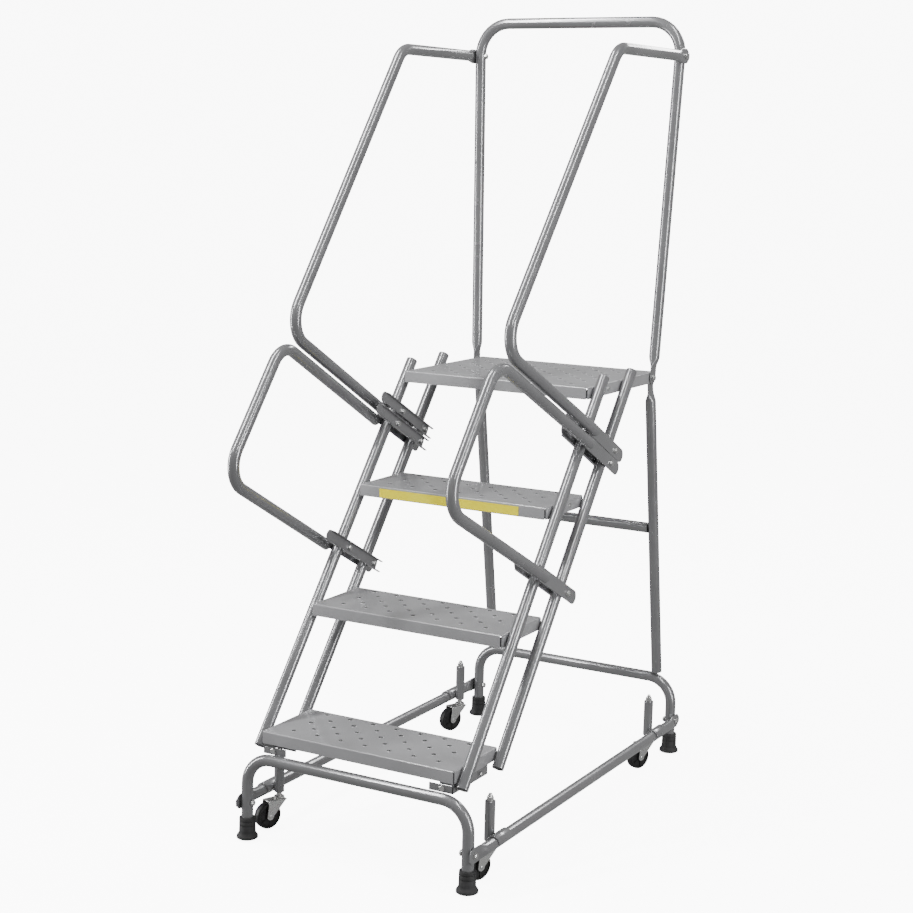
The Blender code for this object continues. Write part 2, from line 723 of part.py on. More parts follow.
def clamp_bar(name, side, leg):
    """The inner half of a clamp: a bar with turned edges, and its two bolts."""
    level = clamp_axis(leg)
    x = STILE_X - TUBE_R - FIT_GAP - PLATE_THICK / 2
    length = BAR_AHEAD + stile_pitch() + BAR_BEHIND
    made = add_object(name, plate_mesh(name, length, BAR_HALF_WIDTH, -1), "enamel")
    made.matrix_world = clamp_frame(side, x, level, length / 2 - BAR_AHEAD)
    lip_start = BAR_HALF_WIDTH - BAR_AHEAD
    lip_length = stile_pitch() + LIP_BEHIND - lip_start
    for edge in SIDES:
        outer = edge * (BAR_HALF_WIDTH - LIP_OVERLAP)
        inner = outer - edge * PLATE_THICK
        low = (-lip_length / 2, min(outer, inner), min(0, -side * LIP_DEPTH))
        high = (lip_length / 2, max(outer, inner), max(0, -side * LIP_DEPTH))
        lip = add_object(f"{name} lip {edge}", box_mesh(name, low, high), None)
        lip.matrix_world = clamp_frame(side, x, level, lip_start + lip_length / 2)
        combine(made, as_tool(lip), "UNION")
    inner = x - PLATE_THICK / 2 + WELD_DEPTH
    outer = PLATE_FACE_X + PLATE_THICK + FIT_GAP
    for k, frame in enumerate(clamp_bolts(side, level)):
        middle = frame.translation
        middle.x = side * (inner + outer) / 2
        stud = across_bolt(f"{name} bolt {k}", middle, outer - inner, side)
        combine(made, as_tool(stud), "UNION")


def upper_handrail(side):
    name = f"handrail_upper_{side_name(side)}"
    level = clamp_levels()[0]
    post_x, post_y, post_z = guard_axis(UPPER_TOP_Z)
    top_x = STILE_X + HANDRAIL_TOP_OUTSET
    corners = [
        (top_x, post_y + HANDRAIL_TIP, UPPER_TOP_Z),
        (top_x, UPPER_TOP_Y, UPPER_TOP_Z),
        front_bend(level),
        leg_end(level),
    ]
    corners = [at_side(side, *corner) for corner in corners]
    path = with_end_rings(rounded_path(corners, HANDRAIL_BEND_R), at_end=False)
    made = tube(name, path, "enamel")
    flat_x = post_x + TUBE_R + FIT_GAP + FLAT_THICK / 2
    flatten_end(made, corners[0], corners[1] - corners[0], side * (flat_x - top_x))
    hole = at_side(side, flat_x, post_y, post_z)
    bore(made, f"{name} top hole", hole, BOLT_HOLE_R, 4 * FLAT_THICK)
    outer = flat_x + FLAT_THICK / 2 + FIT_GAP
    inner = post_x - TUBE_R - 2 * FIT_GAP
    middle = at_side(side, (inner + outer) / 2, post_y, post_z)
    across_bolt(f"handrail_bolt_{side_name(side)}", middle, outer - inner, side)
    add_outer_plate(made, side, level)
    clamp_bar(f"clamp_bar_upper_{side_name(side)}", side, level)


def lower_handrail(side):
    corners = [at_side(side, *corner) for corner in loop_corners()]
    path = rounded_path(corners, HANDRAIL_BEND_R)
    made = tube(f"handrail_lower_{side_name(side)}", path, "enamel")
    for row, level in zip(("middle", "lower"), clamp_levels()[1:]):
        add_outer_plate(made, side, level)
        clamp_bar(f"clamp_bar_{row}_{side_name(side)}", side, level)


# ------------------------------------------------------------------------------ casters
def spring_post(name, side, y):
    """A tube with a bored floor, hung from the side rail by a saddle over it."""
    inner = POST_R - POST_WALL
    neck = STEM_R + FIT_GAP
    top_neck = KINGPIN_R + FIT_GAP
    profile = [
        (top_neck, POST_TOP_Z),
        (POST_R, POST_TOP_Z),
        (POST_R, POST_BOTTOM_Z),
        (neck, POST_BOTTOM_Z),
        (neck, POST_BOTTOM_Z + POST_WALL),
        (inner, POST_BOTTOM_Z + POST_WALL),
        (inner, POST_TOP_Z - POST_WALL),
        (top_neck, POST_TOP_Z - POST_WALL),
    ]
    made = turned(
        name, profile, "enamel", sides=16, closed=True, location=at_side(side, POST_X, y, 0)
    )
    saddle = add_object(f"{name} saddle", saddle_mesh(f"{name} saddle"), None)
    saddle.location = at_side(side, RAIL_X, y, RAIL_Z)
    saddle.rotation_euler = (math.pi / 2, 0, 0)
    combine(made, as_tool(saddle), "UNION")


def saddle_mesh(name):
    """Half a pipe over the top of the side rail."""
    inner = TUBE_R + FIT_GAP
    outline = arc((0, 0), inner + SADDLE_THICK, 0, math.pi, SADDLE_STEPS)
    outline += arc((0, 0), inner, math.pi, 0, SADDLE_STEPS)
    return flat_mesh(name, outline, SADDLE_LENGTH)


def caster(label, side, y):
    """Stem, spring, fork and wheel; the wheel trails to the front and a little left."""
    name = f"{label}_{side_name(side)}"
    swivel = bpy.data.objects.new(f"caster {name}", None)
    parts.objects.link(swivel)
    swivel.location = at_side(side, POST_X, y, 0)
    swivel.rotation_euler = (0, 0, -CASTER_TURN)
    stem_profile = [
        (0, STEM_TOP_Z),
        (KINGPIN_R, STEM_TOP_Z),
        (KINGPIN_R, POST_TOP_Z + FIT_GAP + NUT_HEIGHT),
        (NUT_R, POST_TOP_Z + FIT_GAP + NUT_HEIGHT),
        (NUT_R, POST_TOP_Z + FIT_GAP),
        (KINGPIN_R, POST_TOP_Z + FIT_GAP),
        (KINGPIN_R, COLLAR_Z + COLLAR_HEIGHT),
        (POST_R - POST_WALL - FIT_GAP, COLLAR_Z + COLLAR_HEIGHT),
        (POST_R - POST_WALL - FIT_GAP, COLLAR_Z),
        (STEM_R, COLLAR_Z),
        (STEM_R, RACE_Z),
        (RACE_R, RACE_Z),
        (RACE_R, CROWN_Z + FIT_GAP),
        (0, CROWN_Z + FIT_GAP),
    ]
    turned(f"caster_stem_{name}", stem_profile, "zinc", sides=12, parent=swivel)
    coil_spring(f"caster_spring_{name}", swivel)
    fork(f"caster_fork_{name}", swivel)
    wheel_profile = [
        (AXLE_R + FIT_GAP, WHEEL_HALF_WIDTH),
        (WHEEL_HUB_R, WHEEL_HALF_WIDTH),
        (WHEEL_HUB_R + WHEEL_DISH / 2, WHEEL_HALF_WIDTH - WHEEL_DISH),
        (WHEEL_R - WHEEL_TREAD, WHEEL_HALF_WIDTH - WHEEL_DISH),
        (WHEEL_R - WHEEL_EDGE, WHEEL_HALF_WIDTH),
        (WHEEL_R - WHEEL_EDGE / 2, WHEEL_HALF_WIDTH - WHEEL_EDGE / 6),
        (WHEEL_R, WHEEL_HALF_WIDTH - WHEEL_EDGE),
    ]
    mirrored = [(radius, -height) for radius, height in reversed(wheel_profile)]
    turned(
        f"caster_wheel_{name}", wheel_profile + mirrored, "black", sides=20, closed=True,
        parent=swivel, location=(0, -TRAIL, WHEEL_R), rotation=(0, math.pi / 2, 0),
    )


def coil_spring(name, parent):
    low = COLLAR_Z + COLLAR_HEIGHT + SPRING_WIRE_R + FIT_GAP
    high = POST_TOP_Z - POST_WALL - SPRING_WIRE_R - FIT_GAP
    count = SPRING_TURNS * SPRING_SIDES
    path = []
    for k in range(count + 1):
        turn = 2 * math.pi * k / SPRING_SIDES
        path.append(Vector((
            SPRING_R * math.cos(turn),
            SPRING_R * math.sin(turn),
            low + (high - low) * k / count,
        )))
    tube(name, path, "zinc", radius=SPRING_WIRE_R, smooth=1, parent=parent)


def fork(name, parent):
    """A bent plate: a crown over the wheel, two legs and the riveted axle."""
    inner = WHEEL_HALF_WIDTH + FORK_GAP
    outer = inner + FORK_SHEET
    crown = box_mesh(
        name, (-outer, -TRAIL - FORK_NOSE, CROWN_Z - FORK_SHEET), (outer, RACE_R, CROWN_Z)
    )
    made = add_object(name, crown, "zinc", parent=parent)
    for side in SIDES:
        leg = fork_leg_mesh(f"{name} leg {side}")
        tool = add_object(f"{name} leg {side}", leg, None, parent=parent)
        tool.matrix_basis = Matrix((
            (0, 0, 1, side * (inner + outer) / 2), (1, 0, 0, 0), (0, 1, 0, 0), (0, 0, 0, 1),
        ))
        combine(made, as_tool(tool), "UNION")
    axle = add_object(
        f"{name} axle", rod_mesh(name, AXLE_R, 2 * (outer + AXLE_HEAD)), None,
        parent=parent, location=(0, -TRAIL, WHEEL_R),
    )
    combine(made, as_tool(axle), "UNION")


def fork_leg_mesh(name):
    """A side leg's outline in YZ: wide at the crown, half round about the axle."""
    top = CROWN_Z - LIP_OVERLAP
    outline = [(RACE_R, top), (-TRAIL - FORK_NOSE, top)]
    outline += arc((-TRAIL, WHEEL_R), FORK_EYE_R, math.pi, FORK_EYE_END, ARC_STEPS)
    outline.append((RACE_R, CROWN_Z - FORK_CHEEK))
    return flat_mesh(name, outline, FORK_SHEET)


# ------------------------------------------------------------------------------ assembly
front_reach = min(y for x, y, z in rounded_path(loop_corners(), HANDRAIL_BEND_R)) - TUBE_R
SHIFT_Y = -(front_reach + BASE_LENGTH + FOOT_FLANGE_R) / 2  # puts the box's middle at Y = 0

clear_scene()
parts = make_collection(COLLECTION)
tools = make_collection("cutters")
LOOKS = {
    "enamel": make_material("enamel", (0.20, 0.20, 0.21), 0.35, 0.2),
    "tread": make_material("tread", (0.32, 0.32, 0.33), 0.45, 0.2),
    "rubber": make_material("rubber", (0.05, 0.05, 0.05), 0.8, 0.0),
    "zinc": make_material("zinc", (0.62, 0.62, 0.60), 0.3, 1.0),
    "black": make_material("black", (0.02, 0.02, 0.02), 0.5, 0.0),
}

for row, row_y in BASE_ROWS:
    base_frame(f"{row}_base_frame", row_y)
for tread in range(1, TREAD_COUNT + 1):
    top_z = FIRST_RISE + (tread - 1) * RISE
    pan(f"step_{tread}", (tread - 1) * RUN, TREAD_DEPTH, top_z)
platform = pan("top_platform", PLATFORM_FRONT_Y, PLATFORM_DEPTH, PLATFORM_Z)
guardrail()
rear_brace()
for hand in SIDES:
    label = side_name(hand)
    for row, row_y in BASE_ROWS:
        foot(f"foot_{row}_{label}", hand, row_y)
    side_rail(f"side_rail_{label}", hand)
    stile(f"stile_front_{label}", hand, STILE_SETBACK)
    stile(f"stile_rear_{label}", hand, STILE_SETBACK + STILE_SPACING)
    base_bracket(f"base_bracket_{label}", hand)
    rear_leg(f"rear_leg_{label}", hand)
    corner_bolt(hand)
    skirt_hole = at_side(hand, PAN_HALF_WIDTH, GUARD_Y, CORNER_BOLT_Z)
    bore(platform, f"platform bolt hole {hand}", skirt_hole, BOLT_HOLE_R, 6 * SHEET)
    upper_handrail(hand)
    lower_handrail(hand)
    for row, row_y in POST_ROWS:
        spring_post(f"spring_post_{row}_{label}", hand, row_y)
        caster(row, hand, row_y)
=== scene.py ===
# %% [markdown]
# # A rolling ladder stand, piece by piece
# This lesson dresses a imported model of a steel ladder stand: three treads and a
# platform on leaning tube stiles, two bent base frames, a guardrail, looped
# handrails and four sprung casters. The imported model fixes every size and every
# moving body. Each cell below makes one piece or one finish and says why it is
# made that way.

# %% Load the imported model
import math

import bmesh
import bpy
from mathutils import Matrix, Vector


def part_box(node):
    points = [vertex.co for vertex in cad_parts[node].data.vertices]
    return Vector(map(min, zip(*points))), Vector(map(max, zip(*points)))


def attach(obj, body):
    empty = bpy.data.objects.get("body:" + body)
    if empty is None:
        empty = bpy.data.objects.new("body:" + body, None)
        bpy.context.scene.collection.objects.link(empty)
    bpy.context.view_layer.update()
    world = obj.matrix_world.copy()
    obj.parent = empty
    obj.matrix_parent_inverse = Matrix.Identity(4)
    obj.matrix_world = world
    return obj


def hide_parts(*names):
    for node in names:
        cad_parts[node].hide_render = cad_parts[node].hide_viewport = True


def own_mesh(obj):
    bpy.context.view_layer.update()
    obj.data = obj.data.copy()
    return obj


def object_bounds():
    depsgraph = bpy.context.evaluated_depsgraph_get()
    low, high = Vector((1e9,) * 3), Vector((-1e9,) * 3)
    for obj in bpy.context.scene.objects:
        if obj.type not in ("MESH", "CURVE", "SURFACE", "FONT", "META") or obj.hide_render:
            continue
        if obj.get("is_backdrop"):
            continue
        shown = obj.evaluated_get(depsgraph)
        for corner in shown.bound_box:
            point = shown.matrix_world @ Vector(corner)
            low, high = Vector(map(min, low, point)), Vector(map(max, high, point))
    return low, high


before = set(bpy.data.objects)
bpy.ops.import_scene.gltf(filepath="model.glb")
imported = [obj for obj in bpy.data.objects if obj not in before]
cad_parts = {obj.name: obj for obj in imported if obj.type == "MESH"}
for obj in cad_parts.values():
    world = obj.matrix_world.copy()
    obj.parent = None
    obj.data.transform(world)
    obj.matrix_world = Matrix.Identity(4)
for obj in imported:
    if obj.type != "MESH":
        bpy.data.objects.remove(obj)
cad_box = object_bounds()

# %% [markdown]
# ## The sizes that everything shares
# The stand is measured in metres with its floor at Z = 0. Y runs from the first
# tread to the back, and every Y below counts from the front legs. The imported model
# tells where the front legs are, so one number, `FRONT_Y`, places all of it.

# %% Shared sizes
TUBE_R = 0.0135
GAP = 0.0003
FLAT_THICK = 0.0036
FIRST, RISE, RUN = 0.2667, 0.254, 0.199
PLATFORM_Z = FIRST + 3 * RISE
PLATFORM_REAR = 3 * RUN + 0.400
BASE_LENGTH = PLATFORM_REAR + 0.103
LEG_X = 0.289
BAR_Z = FIRST - 0.066
STILE_X = 0.264
SETBACKS = {"front": 0.045, "rear": 0.205}
PAN_X = STILE_X - TUBE_R - GAP
WHEEL_R = 0.03175
CROWN_Z = 2 * WHEEL_R + 0.0042
RACE_Z = CROWN_Z + 0.005
POST_LOW = RACE_Z + 0.010
POST_HIGH = POST_LOW + 0.092
RAIL_Z = POST_LOW + 0.008
SLOPE = 0.53
SIDES = {"left": -1, "right": 1}
ROWS = {"front": 0.0, "rear": BASE_LENGTH}

low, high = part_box("front_base_frame")
FRONT_Y = (low.y + high.y) / 2


def at(x, y, z):
    """A point of the model, with Y counted from the front legs."""
    return Vector((x, y + FRONT_Y, z))


print("front legs at Y", round(FRONT_Y, 4), "rear legs at Y", round(FRONT_Y + BASE_LENGTH, 4))

# %% [markdown]
# ## Working by operator
# Everything here is done with the operators that a person would click. An operator
# works on all that is selected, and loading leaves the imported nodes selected, so each
# piece starts by clearing the selection. A small picker then selects faces or
# vertices by where they are.

# %% Small tools for selecting and finishing
def start(add, **settings):
    """Adds a primitive with nothing else selected and opens it in edit mode."""
    if bpy.context.object and bpy.context.object.mode != "OBJECT":
        bpy.ops.object.mode_set(mode="OBJECT")
    bpy.ops.object.select_all(action="DESELECT")
    add(**settings)
    bpy.ops.object.transform_apply(location=True, rotation=True, scale=True)
    bpy.ops.object.mode_set(mode="EDIT")
    bpy.ops.mesh.select_mode(type="VERT")
    bpy.ops.mesh.select_all(action="SELECT")
    return bpy.context.object


def pick(kind, test):
    """Selects only the vertices or faces of the open mesh that pass the test."""
    bpy.ops.mesh.select_mode(type=kind)
    bpy.ops.mesh.select_all(action="DESELECT")
    made = bmesh.from_edit_mesh(bpy.context.object.data)
    chosen = made.verts if kind == "VERT" else made.faces
    for thing in chosen:
        if test(thing.co if kind == "VERT" else thing):
            thing.select_set(True)
    made.select_flush_mode()
    bmesh.update_edit_mesh(bpy.context.object.data)


def push(offset):
    """Extrudes what is selected and moves it."""
    bpy.ops.mesh.extrude_region_move(TRANSFORM_OT_translate={"value": offset})


def settle(name, angle=32):
    """Closes the mesh, gives the piece its name and leaves it at the origin."""
    bpy.ops.mesh.select_all(action="SELECT")
    bpy.ops.mesh.remove_doubles(threshold=0.00001)
    bpy.ops.mesh.normals_make_consistent(inside=False)
    bpy.ops.object.mode_set(mode="OBJECT")
    bpy.ops.object.transform_apply(location=True, rotation=True, scale=True)
    bpy.ops.object.shade_smooth_by_angle(angle=math.radians(angle))
    made = bpy.context.object
    made.name = name
    made.data.name = name
    return made


def modify(made, kind, **settings):
    """Adds a modifier and applies it."""
    step = made.modifiers.new(kind.lower(), kind)
    for key, value in settings.items():
        setattr(step, key, value)
    bpy.ops.object.select_all(action="DESELECT")
    made.select_set(True)
    bpy.context.view_layer.objects.active = made
    bpy.ops.object.modifier_apply(modifier=step.name)


def merge(name, pieces):
    """Joins finished shapes into one piece."""
    bpy.ops.object.select_all(action="DESELECT")
    for piece in pieces:
        piece.select_set(True)
    bpy.context.view_layer.objects.active = pieces[0]
    bpy.ops.object.join()
    bpy.context.object.name = name
    return bpy.context.object


def placed(made, matrix):
    """Moves a piece by moving its mesh, so that its object stays at the origin."""
    made.data.transform(matrix)
    made.data.update()
    return made


def copy_of(made, name, matrix):
    """A copy with its own mesh, at its own place; a mirror image faces out again."""
    twin = made.copy()
    twin.data = made.data.copy()
    twin.name = name
    twin.data.name = name
    bpy.context.scene.collection.objects.link(twin)
    placed(twin, matrix)
    if matrix.determinant() < 0:
        twin.data.flip_normals()
    return twin


made_pieces = []


def keep(piece, finish, body="frame", nodes=()):
    """Paints a finished piece and lets it ride on its body."""
    if not piece.data.materials:
        piece.data.materials.append(finish)
    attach(piece, body)
    if nodes:
        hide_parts(*nodes)
    made_pieces.append(piece.name)
    return piece

# %% [markdown]
# ## The camera
# A long lens keeps the uprights nearly parallel, as a catalogue shot does. The
# camera stands to the right of the first tread, a little above the platform, and
# looks slightly down. Its three axes come from turning, tilting and rolling it.

# %% Aim the camera
turn, tilt, roll = (math.radians(angle) for angle in (29.28, 9.82, 1.32))
ahead = Vector((
    -math.sin(turn) * math.cos(tilt),
    math.cos(turn) * math.cos(tilt),
    -math.sin(tilt),
))
right = Vector((math.cos(turn), math.sin(turn), 0))
above = right.cross(ahead)
aim = Matrix.Identity(4)
aim.col[0].xyz = right * math.cos(roll) + above * math.sin(roll)
aim.col[1].xyz = above * math.cos(roll) - right * math.sin(roll)
aim.col[2].xyz = -ahead
aim.translation = (2.063, -3.771, 1.5937)
lens = bpy.data.cameras.new("camera")
lens.lens = 36 * 1829 / 913
camera = bpy.data.objects.new("camera", lens)
bpy.context.scene.collection.objects.link(camera)
camera.matrix_world = aim
bpy.context.scene.camera = camera
print("lens", round(lens.lens, 1), "mm")

# %% [markdown]
# ## A shader written as sums
# Node trees are easier to read as formulas. `Value` wraps one output socket, so that
# `1 - grain * 0.2` adds its own Math nodes. `Paint` starts a material: `node` adds any
# other node, with its settings first and then what its sockets are given. Numbers that
# are the same all over a surface go straight onto the shader's own sockets.

# %% The socket wrapper and the paint mixer
class Value:
    """One output socket that can be used in plain arithmetic."""

    def __init__(self, paint, socket):
        self.paint = paint
        self.socket = socket

    def maths(self, operation, first, second):
        return self.paint.node("ShaderNodeMath", {"operation": operation}, {0: first, 1: second})

    def __add__(self, other):
        return self.maths("ADD", self, other)

    def __sub__(self, other):
        return self.maths("SUBTRACT", self, other)

    def __rsub__(self, other):
        return self.maths("SUBTRACT", other, self)

    def __mul__(self, other):
        return self.maths("MULTIPLY", self, other)

    __radd__ = __add__
    __rmul__ = __mul__


class Paint:
    """A material under construction."""

    def __init__(self, name, **constants):
        self.material = bpy.data.materials.new(name)
        self.material.use_nodes = True
        self.nodes = self.material.node_tree.nodes
        self.shader = self.nodes["Principled BSDF"]
        for key, value in constants.items():
            self.shader.inputs[key.replace("_", " ")].default_value = value
        self.place = self.node("ShaderNodeTexCoord", {}, {}, "Object")

    def node(self, kind, settings, values, out=0):
        made = self.nodes.new(kind)
        for key, value in settings.items():
            setattr(made, key, value)
        for key, value in values.items():
            self.feed(made.inputs[key], value)
        return Value(self, made.outputs[out])

    def feed(self, socket, value):
        if isinstance(value, Value):
            self.material.node_tree.links.new(value.socket, socket)
        else:
            socket.default_value = value

    def noise(self, scale, detail=2.0, where=None):
        values = {"Vector": where or self.place, "Scale": scale, "Detail": detail}
        return self.node("ShaderNodeTexNoise", {}, values, "Fac")

    def ramp(self, value, low, high):
        """Stretches a value from low..high to 0..1."""
        return self.node(
            "ShaderNodeMapRange", {}, {"Value": value, "From Min": low, "From Max": high}
        )

    def blend(self, share, first, second):
        """A colour between two colours."""
        return self.node(
            "ShaderNodeMix", {"data_type": "RGBA"}, {0: share, 6: first, 7: second}, 2
        )

    def bump(self, height, distance, strength=1.0):
        values = {"Height": height, "Distance": distance, "Strength": strength}
        return self.node("ShaderNodeBump", {}, values, "Normal")

    def finish(self, **links):
        for key, value in links.items():
            self.feed(self.shader.inputs[key.replace("_", " ")], value)
        return self.material


# %% [markdown]
# ## Grey enamel
# The steel is powder coated: a mid-grey film, fairly shiny, with the faint orange peel
# of powder that has flowed and set. A flat grey would look like plastic, so a slow
# noise shifts the tone, a fine one dents the film, and a third dulls it in patches
# where hands and dust have been. The treads carry a lighter, duller coat. A nearly
# black coat is painted shade: it darkens the insides of the tread holes and the tabs
# in the tread corners, where the real steel is dark only because it lies in shadow.

# %% Mix the enamels
def grey(level):
    return (level, level, level * 1.03, 1)


def enamel_paint(name, level, rough, metal):
    paint = Paint(name, Metallic=metal, Specular_IOR_Level=0.6, Coat_Roughness=0.08)
    tone = paint.ramp(paint.noise(7, 3), 0.35, 0.65)
    peel = paint.noise(620, 1)
    scuffs = paint.ramp(paint.noise(34, 6), 0.56, 0.74)
    speckle = paint.ramp(paint.noise(1500, 1), 0.60, 0.78)
    film = paint.blend(tone, grey(level * 0.94), grey(level * 1.07))
    worn = paint.blend(scuffs * 0.16, film, grey(level * 1.35))
    return paint.finish(
        Base_Color=paint.blend(speckle * 0.22, worn, grey(level * 0.6)),
        Roughness=rough + 0.05 * tone + 0.08 * scuffs,
        Coat_Weight=0.55 - 0.15 * scuffs,
        Normal=paint.bump(peel, 0.00010, 0.3),
    )


enamel = enamel_paint("grey_enamel", 0.25, 0.20, 0.55)
tread_enamel = enamel_paint("tread_enamel", 0.31, 0.36, 0.15)
# painted shade: a nearly black coat that stands in for the shade inside the tread holes and corners
shadow_enamel = enamel_paint("shadow_enamel", 0.035, 0.6, 0.0)
print("enamels:", enamel.name, tread_enamel.name, shadow_enamel.name)

# %% [markdown]
# ## Zinc plate, rubber and tyre
# Bolts, stems and forks are zinc plated: bright metal with a faint crystal pattern,
# cut here from Voronoi cells, and duller streaks. The feet are charcoal rubber with a
# matt bloom, and the wheels are black moulded plastic with a pebbled skin.

# %% Mix the small parts' finishes
def zinc_paint():
    paint = Paint("zinc_plate", Metallic=1.0)
    cells = paint.node(
        "ShaderNodeTexVoronoi", {}, {"Vector": paint.place, "Scale": 420.0}, "Color"
    )
    crystal = paint.node("ShaderNodeRGBToBW", {}, {0: cells})
    streak = paint.ramp(paint.noise(90, 4), 0.4, 0.7)
    return paint.finish(
        Base_Color=paint.blend(crystal * 0.5 + streak * 0.3, (0.74, 0.74, 0.72, 1), (0.5, 0.51, 0.52, 1)),
        Roughness=0.2 + 0.12 * crystal + 0.1 * streak,
        Normal=paint.bump(paint.noise(1400, 2), 0.00008, 0.5),
    )


def rubber_paint(name, level, rough, grain):
    paint = Paint(name, Specular_IOR_Level=0.35)
    bloom = paint.ramp(paint.noise(45, 5), 0.45, 0.75)
    skin = paint.noise(grain, 2)
    return paint.finish(
        Base_Color=paint.blend(bloom, grey(level), grey(level * 1.9)),
        Roughness=rough + 0.1 * bloom,
        Normal=paint.bump(skin, 0.0003, 0.6),
    )


zinc = zinc_paint()
rubber = rubber_paint("charcoal_rubber", 0.022, 0.62, 700)
tyre = rubber_paint("black_tyre", 0.012, 0.42, 1100)
print("small finishes:", zinc.name, rubber.name, tyre.name)

# %% [markdown]
# ## Yellow strip
# The lip of the third tread carries a plain yellow band of film, there to mark the
# edge. Film creeps and fades unevenly, so its yellow shifts a little along its length
# and its surface ripples faintly.

# %% Mix the yellow film
def film_paint():
    paint = Paint("yellow_film", Specular_IOR_Level=0.5)
    fade = paint.ramp(paint.noise(14, 4), 0.35, 0.7)
    grime = paint.ramp(paint.noise(160, 5), 0.58, 0.8)
    faded = paint.blend(fade, (1.0, 0.86, 0.004, 1), (1.0, 0.90, 0.03, 1))
    return paint.finish(
        Base_Color=paint.blend(grime * 0.4, faded, (0.8, 0.66, 0.03, 1)),
        Roughness=0.34 + 0.12 * fade,
        Normal=paint.bump(paint.noise(60, 2), 0.0004, 0.4),
    )


yellow = film_paint()
print("film:", yellow.name)

# %% [markdown]
# ## A round white cove
# The stand is shown on a white sweep. A flat floor would end at a horizon, so this one
# curls up into a round wall far behind the camera's path: a disc whose rim is extruded
# outwards and upwards in steps. It glows, as a lit cyclorama does, but only to the
# eye: its glow is kept off the stand, whose light comes from a soft sky and from long
# narrow lamps. A tube only shows a streak when the lamp lies along it, so two lamps
# lean at the pitch of the stiles, two stand upright, and one lies across the back.

# %% Build the cove and its light
start(bpy.ops.mesh.primitive_circle_add, vertices=96, radius=9, fill_type="NGON")
pick("VERT", lambda point: True)
bpy.ops.mesh.select_mode(type="EDGE")
bpy.ops.mesh.region_to_loop()
for k in range(1, 11):
    angle = math.radians(9 * k)
    reach = 9 + 4 * math.sin(angle)
    before = 9 + 4 * math.sin(angle - math.radians(9))
    rise = 4 * (math.cos(angle - math.radians(9)) - math.cos(angle))
    push((0, 0, rise))
    bpy.ops.transform.resize(value=(reach / before, reach / before, 1))
push((0, 0, 6))
bpy.ops.object.mode_set(mode="OBJECT")
bpy.ops.object.shade_smooth()
cove = bpy.context.object
cove.name = "cove"
white = Paint("cove_white", Roughness=0.9, Specular_IOR_Level=0.1)
cove.data.materials.append(white.finish(
    Base_Color=white.blend(white.noise(0.4, 1), (0.86, 0.86, 0.86, 1), (0.9, 0.9, 0.9, 1)),
    Emission_Color=(1.0, 1.0, 1.0, 1),
    Emission_Strength=9.0,
))
cove.visible_diffuse = False
cove.visible_glossy = False
cove.visible_shadow = False
cove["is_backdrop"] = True

world = bpy.data.worlds.new("studio")
bpy.context.scene.world = world
world.use_nodes = True
world.node_tree.nodes["Background"].inputs["Color"].default_value = (1, 1, 1, 1)
world.node_tree.nodes["Background"].inputs["Strength"].default_value = 0.36

pitch = (0, RUN, RISE)
for name, spot, along, size, power in (
    ("key", (-1.55, -1.20, 3.95), pitch, (0.30, 3.4), 165),
    ("second_key", (1.80, -1.15, 3.95), pitch, (0.16, 3.4), 60),
    ("left_strip", (-3.4, -1.8, 1.2), (0, 0, 1), (0.26, 3.0), 95),
    ("right_strip", (3.9, -0.6, 1.4), (0, 0, 1), (0.26, 3.0), 95),
    ("rim", (0.4, 4.2, 3.4), (1, 0, 0), (0.5, 2.2), 60),
):
    light = bpy.data.lights.new(name, "AREA")
    light.shape = "RECTANGLE"
    light.size, light.size_y = size
    light.energy = power
    lamp = bpy.data.objects.new(name, light)
    bpy.context.scene.collection.objects.link(lamp)
    away = (Vector(spot) - Vector((0, 0, 0.8))).normalized()
    tall = (Vector(along) - Vector(along).dot(away) * away).normalized()
    stand = Matrix.Translation(spot)
    stand.col[0].xyz, stand.col[1].xyz, stand.col[2].xyz = tall.cross(away), tall, away
    lamp.matrix_world = stand
print("cove reaches", round(cove.dimensions.x / 2, 1), "m")

# %% [markdown]
# ## Bent tube
# Most of the stand is one kind of tube, bent in a former. The real tube is pushed
# straight, swung round the former, and pushed again, and the mesh is made the same
# way: a circle is extruded along each straight and spun round each bend. A curve with
# a bevel would be quicker, but it can't keep the exact rings that a pressed end needs.

# %% Push and spin a tube
def begin_tube(corners, radius=TUBE_R, sides=28):
    """Opens a circle that faces along the first straight."""
    facing = (corners[1] - corners[0]).to_track_quat("Z", "X").to_euler()
    start(
        bpy.ops.mesh.primitive_circle_add, vertices=sides, radius=radius,
        location=corners[0], rotation=facing,
    )


def run_tube(corners, bend, steps=9):
    """Pushes the open ring through the corners, spinning it round each bend."""
    here = corners[0]
    for before, corner, after in zip(corners, corners[1:], corners[2:]):
        back = (before - corner).normalized()
        ahead = (after - corner).normalized()
        half = back.angle(ahead) / 2
        middle = corner + (back + ahead).normalized() * bend / math.sin(half)
        push(corner + back * bend / math.tan(half) - here)
        bpy.ops.mesh.spin(
            steps=steps, angle=math.pi - 2 * half,
            center=middle, axis=back.cross(ahead).normalized(),
        )
        here = corner + ahead * bend / math.tan(half)
    push(corners[-1] - here)


def closed_tube(name, corners, bend=0.065, radius=TUBE_R, sides=28):
    """A bent tube with both ends capped."""
    begin_tube(corners, radius, sides)
    run_tube(corners, bend)
    bpy.ops.mesh.select_all(action="SELECT")
    bpy.ops.mesh.fill_holes(sides=0)
    return settle(name)



# %% [markdown]
# ## Base frames
# Each end of the stand sits on an upside-down U of tube, with one tight bend at each
# corner. One frame is made and copied to the back, since a factory bends both alike.

# %% Bend the two base frames
FOOT_TOP = 0.0153
front_base = closed_tube("front_base", [
    at(-LEG_X, 0, FOOT_TOP), at(-LEG_X, 0, BAR_Z), at(LEG_X, 0, BAR_Z), at(LEG_X, 0, FOOT_TOP),
])
rear_base = copy_of(front_base, "rear_base", Matrix.Translation((0, BASE_LENGTH, 0)))
keep(front_base, enamel, nodes=["front_base_frame"])
keep(rear_base, enamel, nodes=["rear_base_frame"])
print("base frame:", len(front_base.data.polygons), "faces")

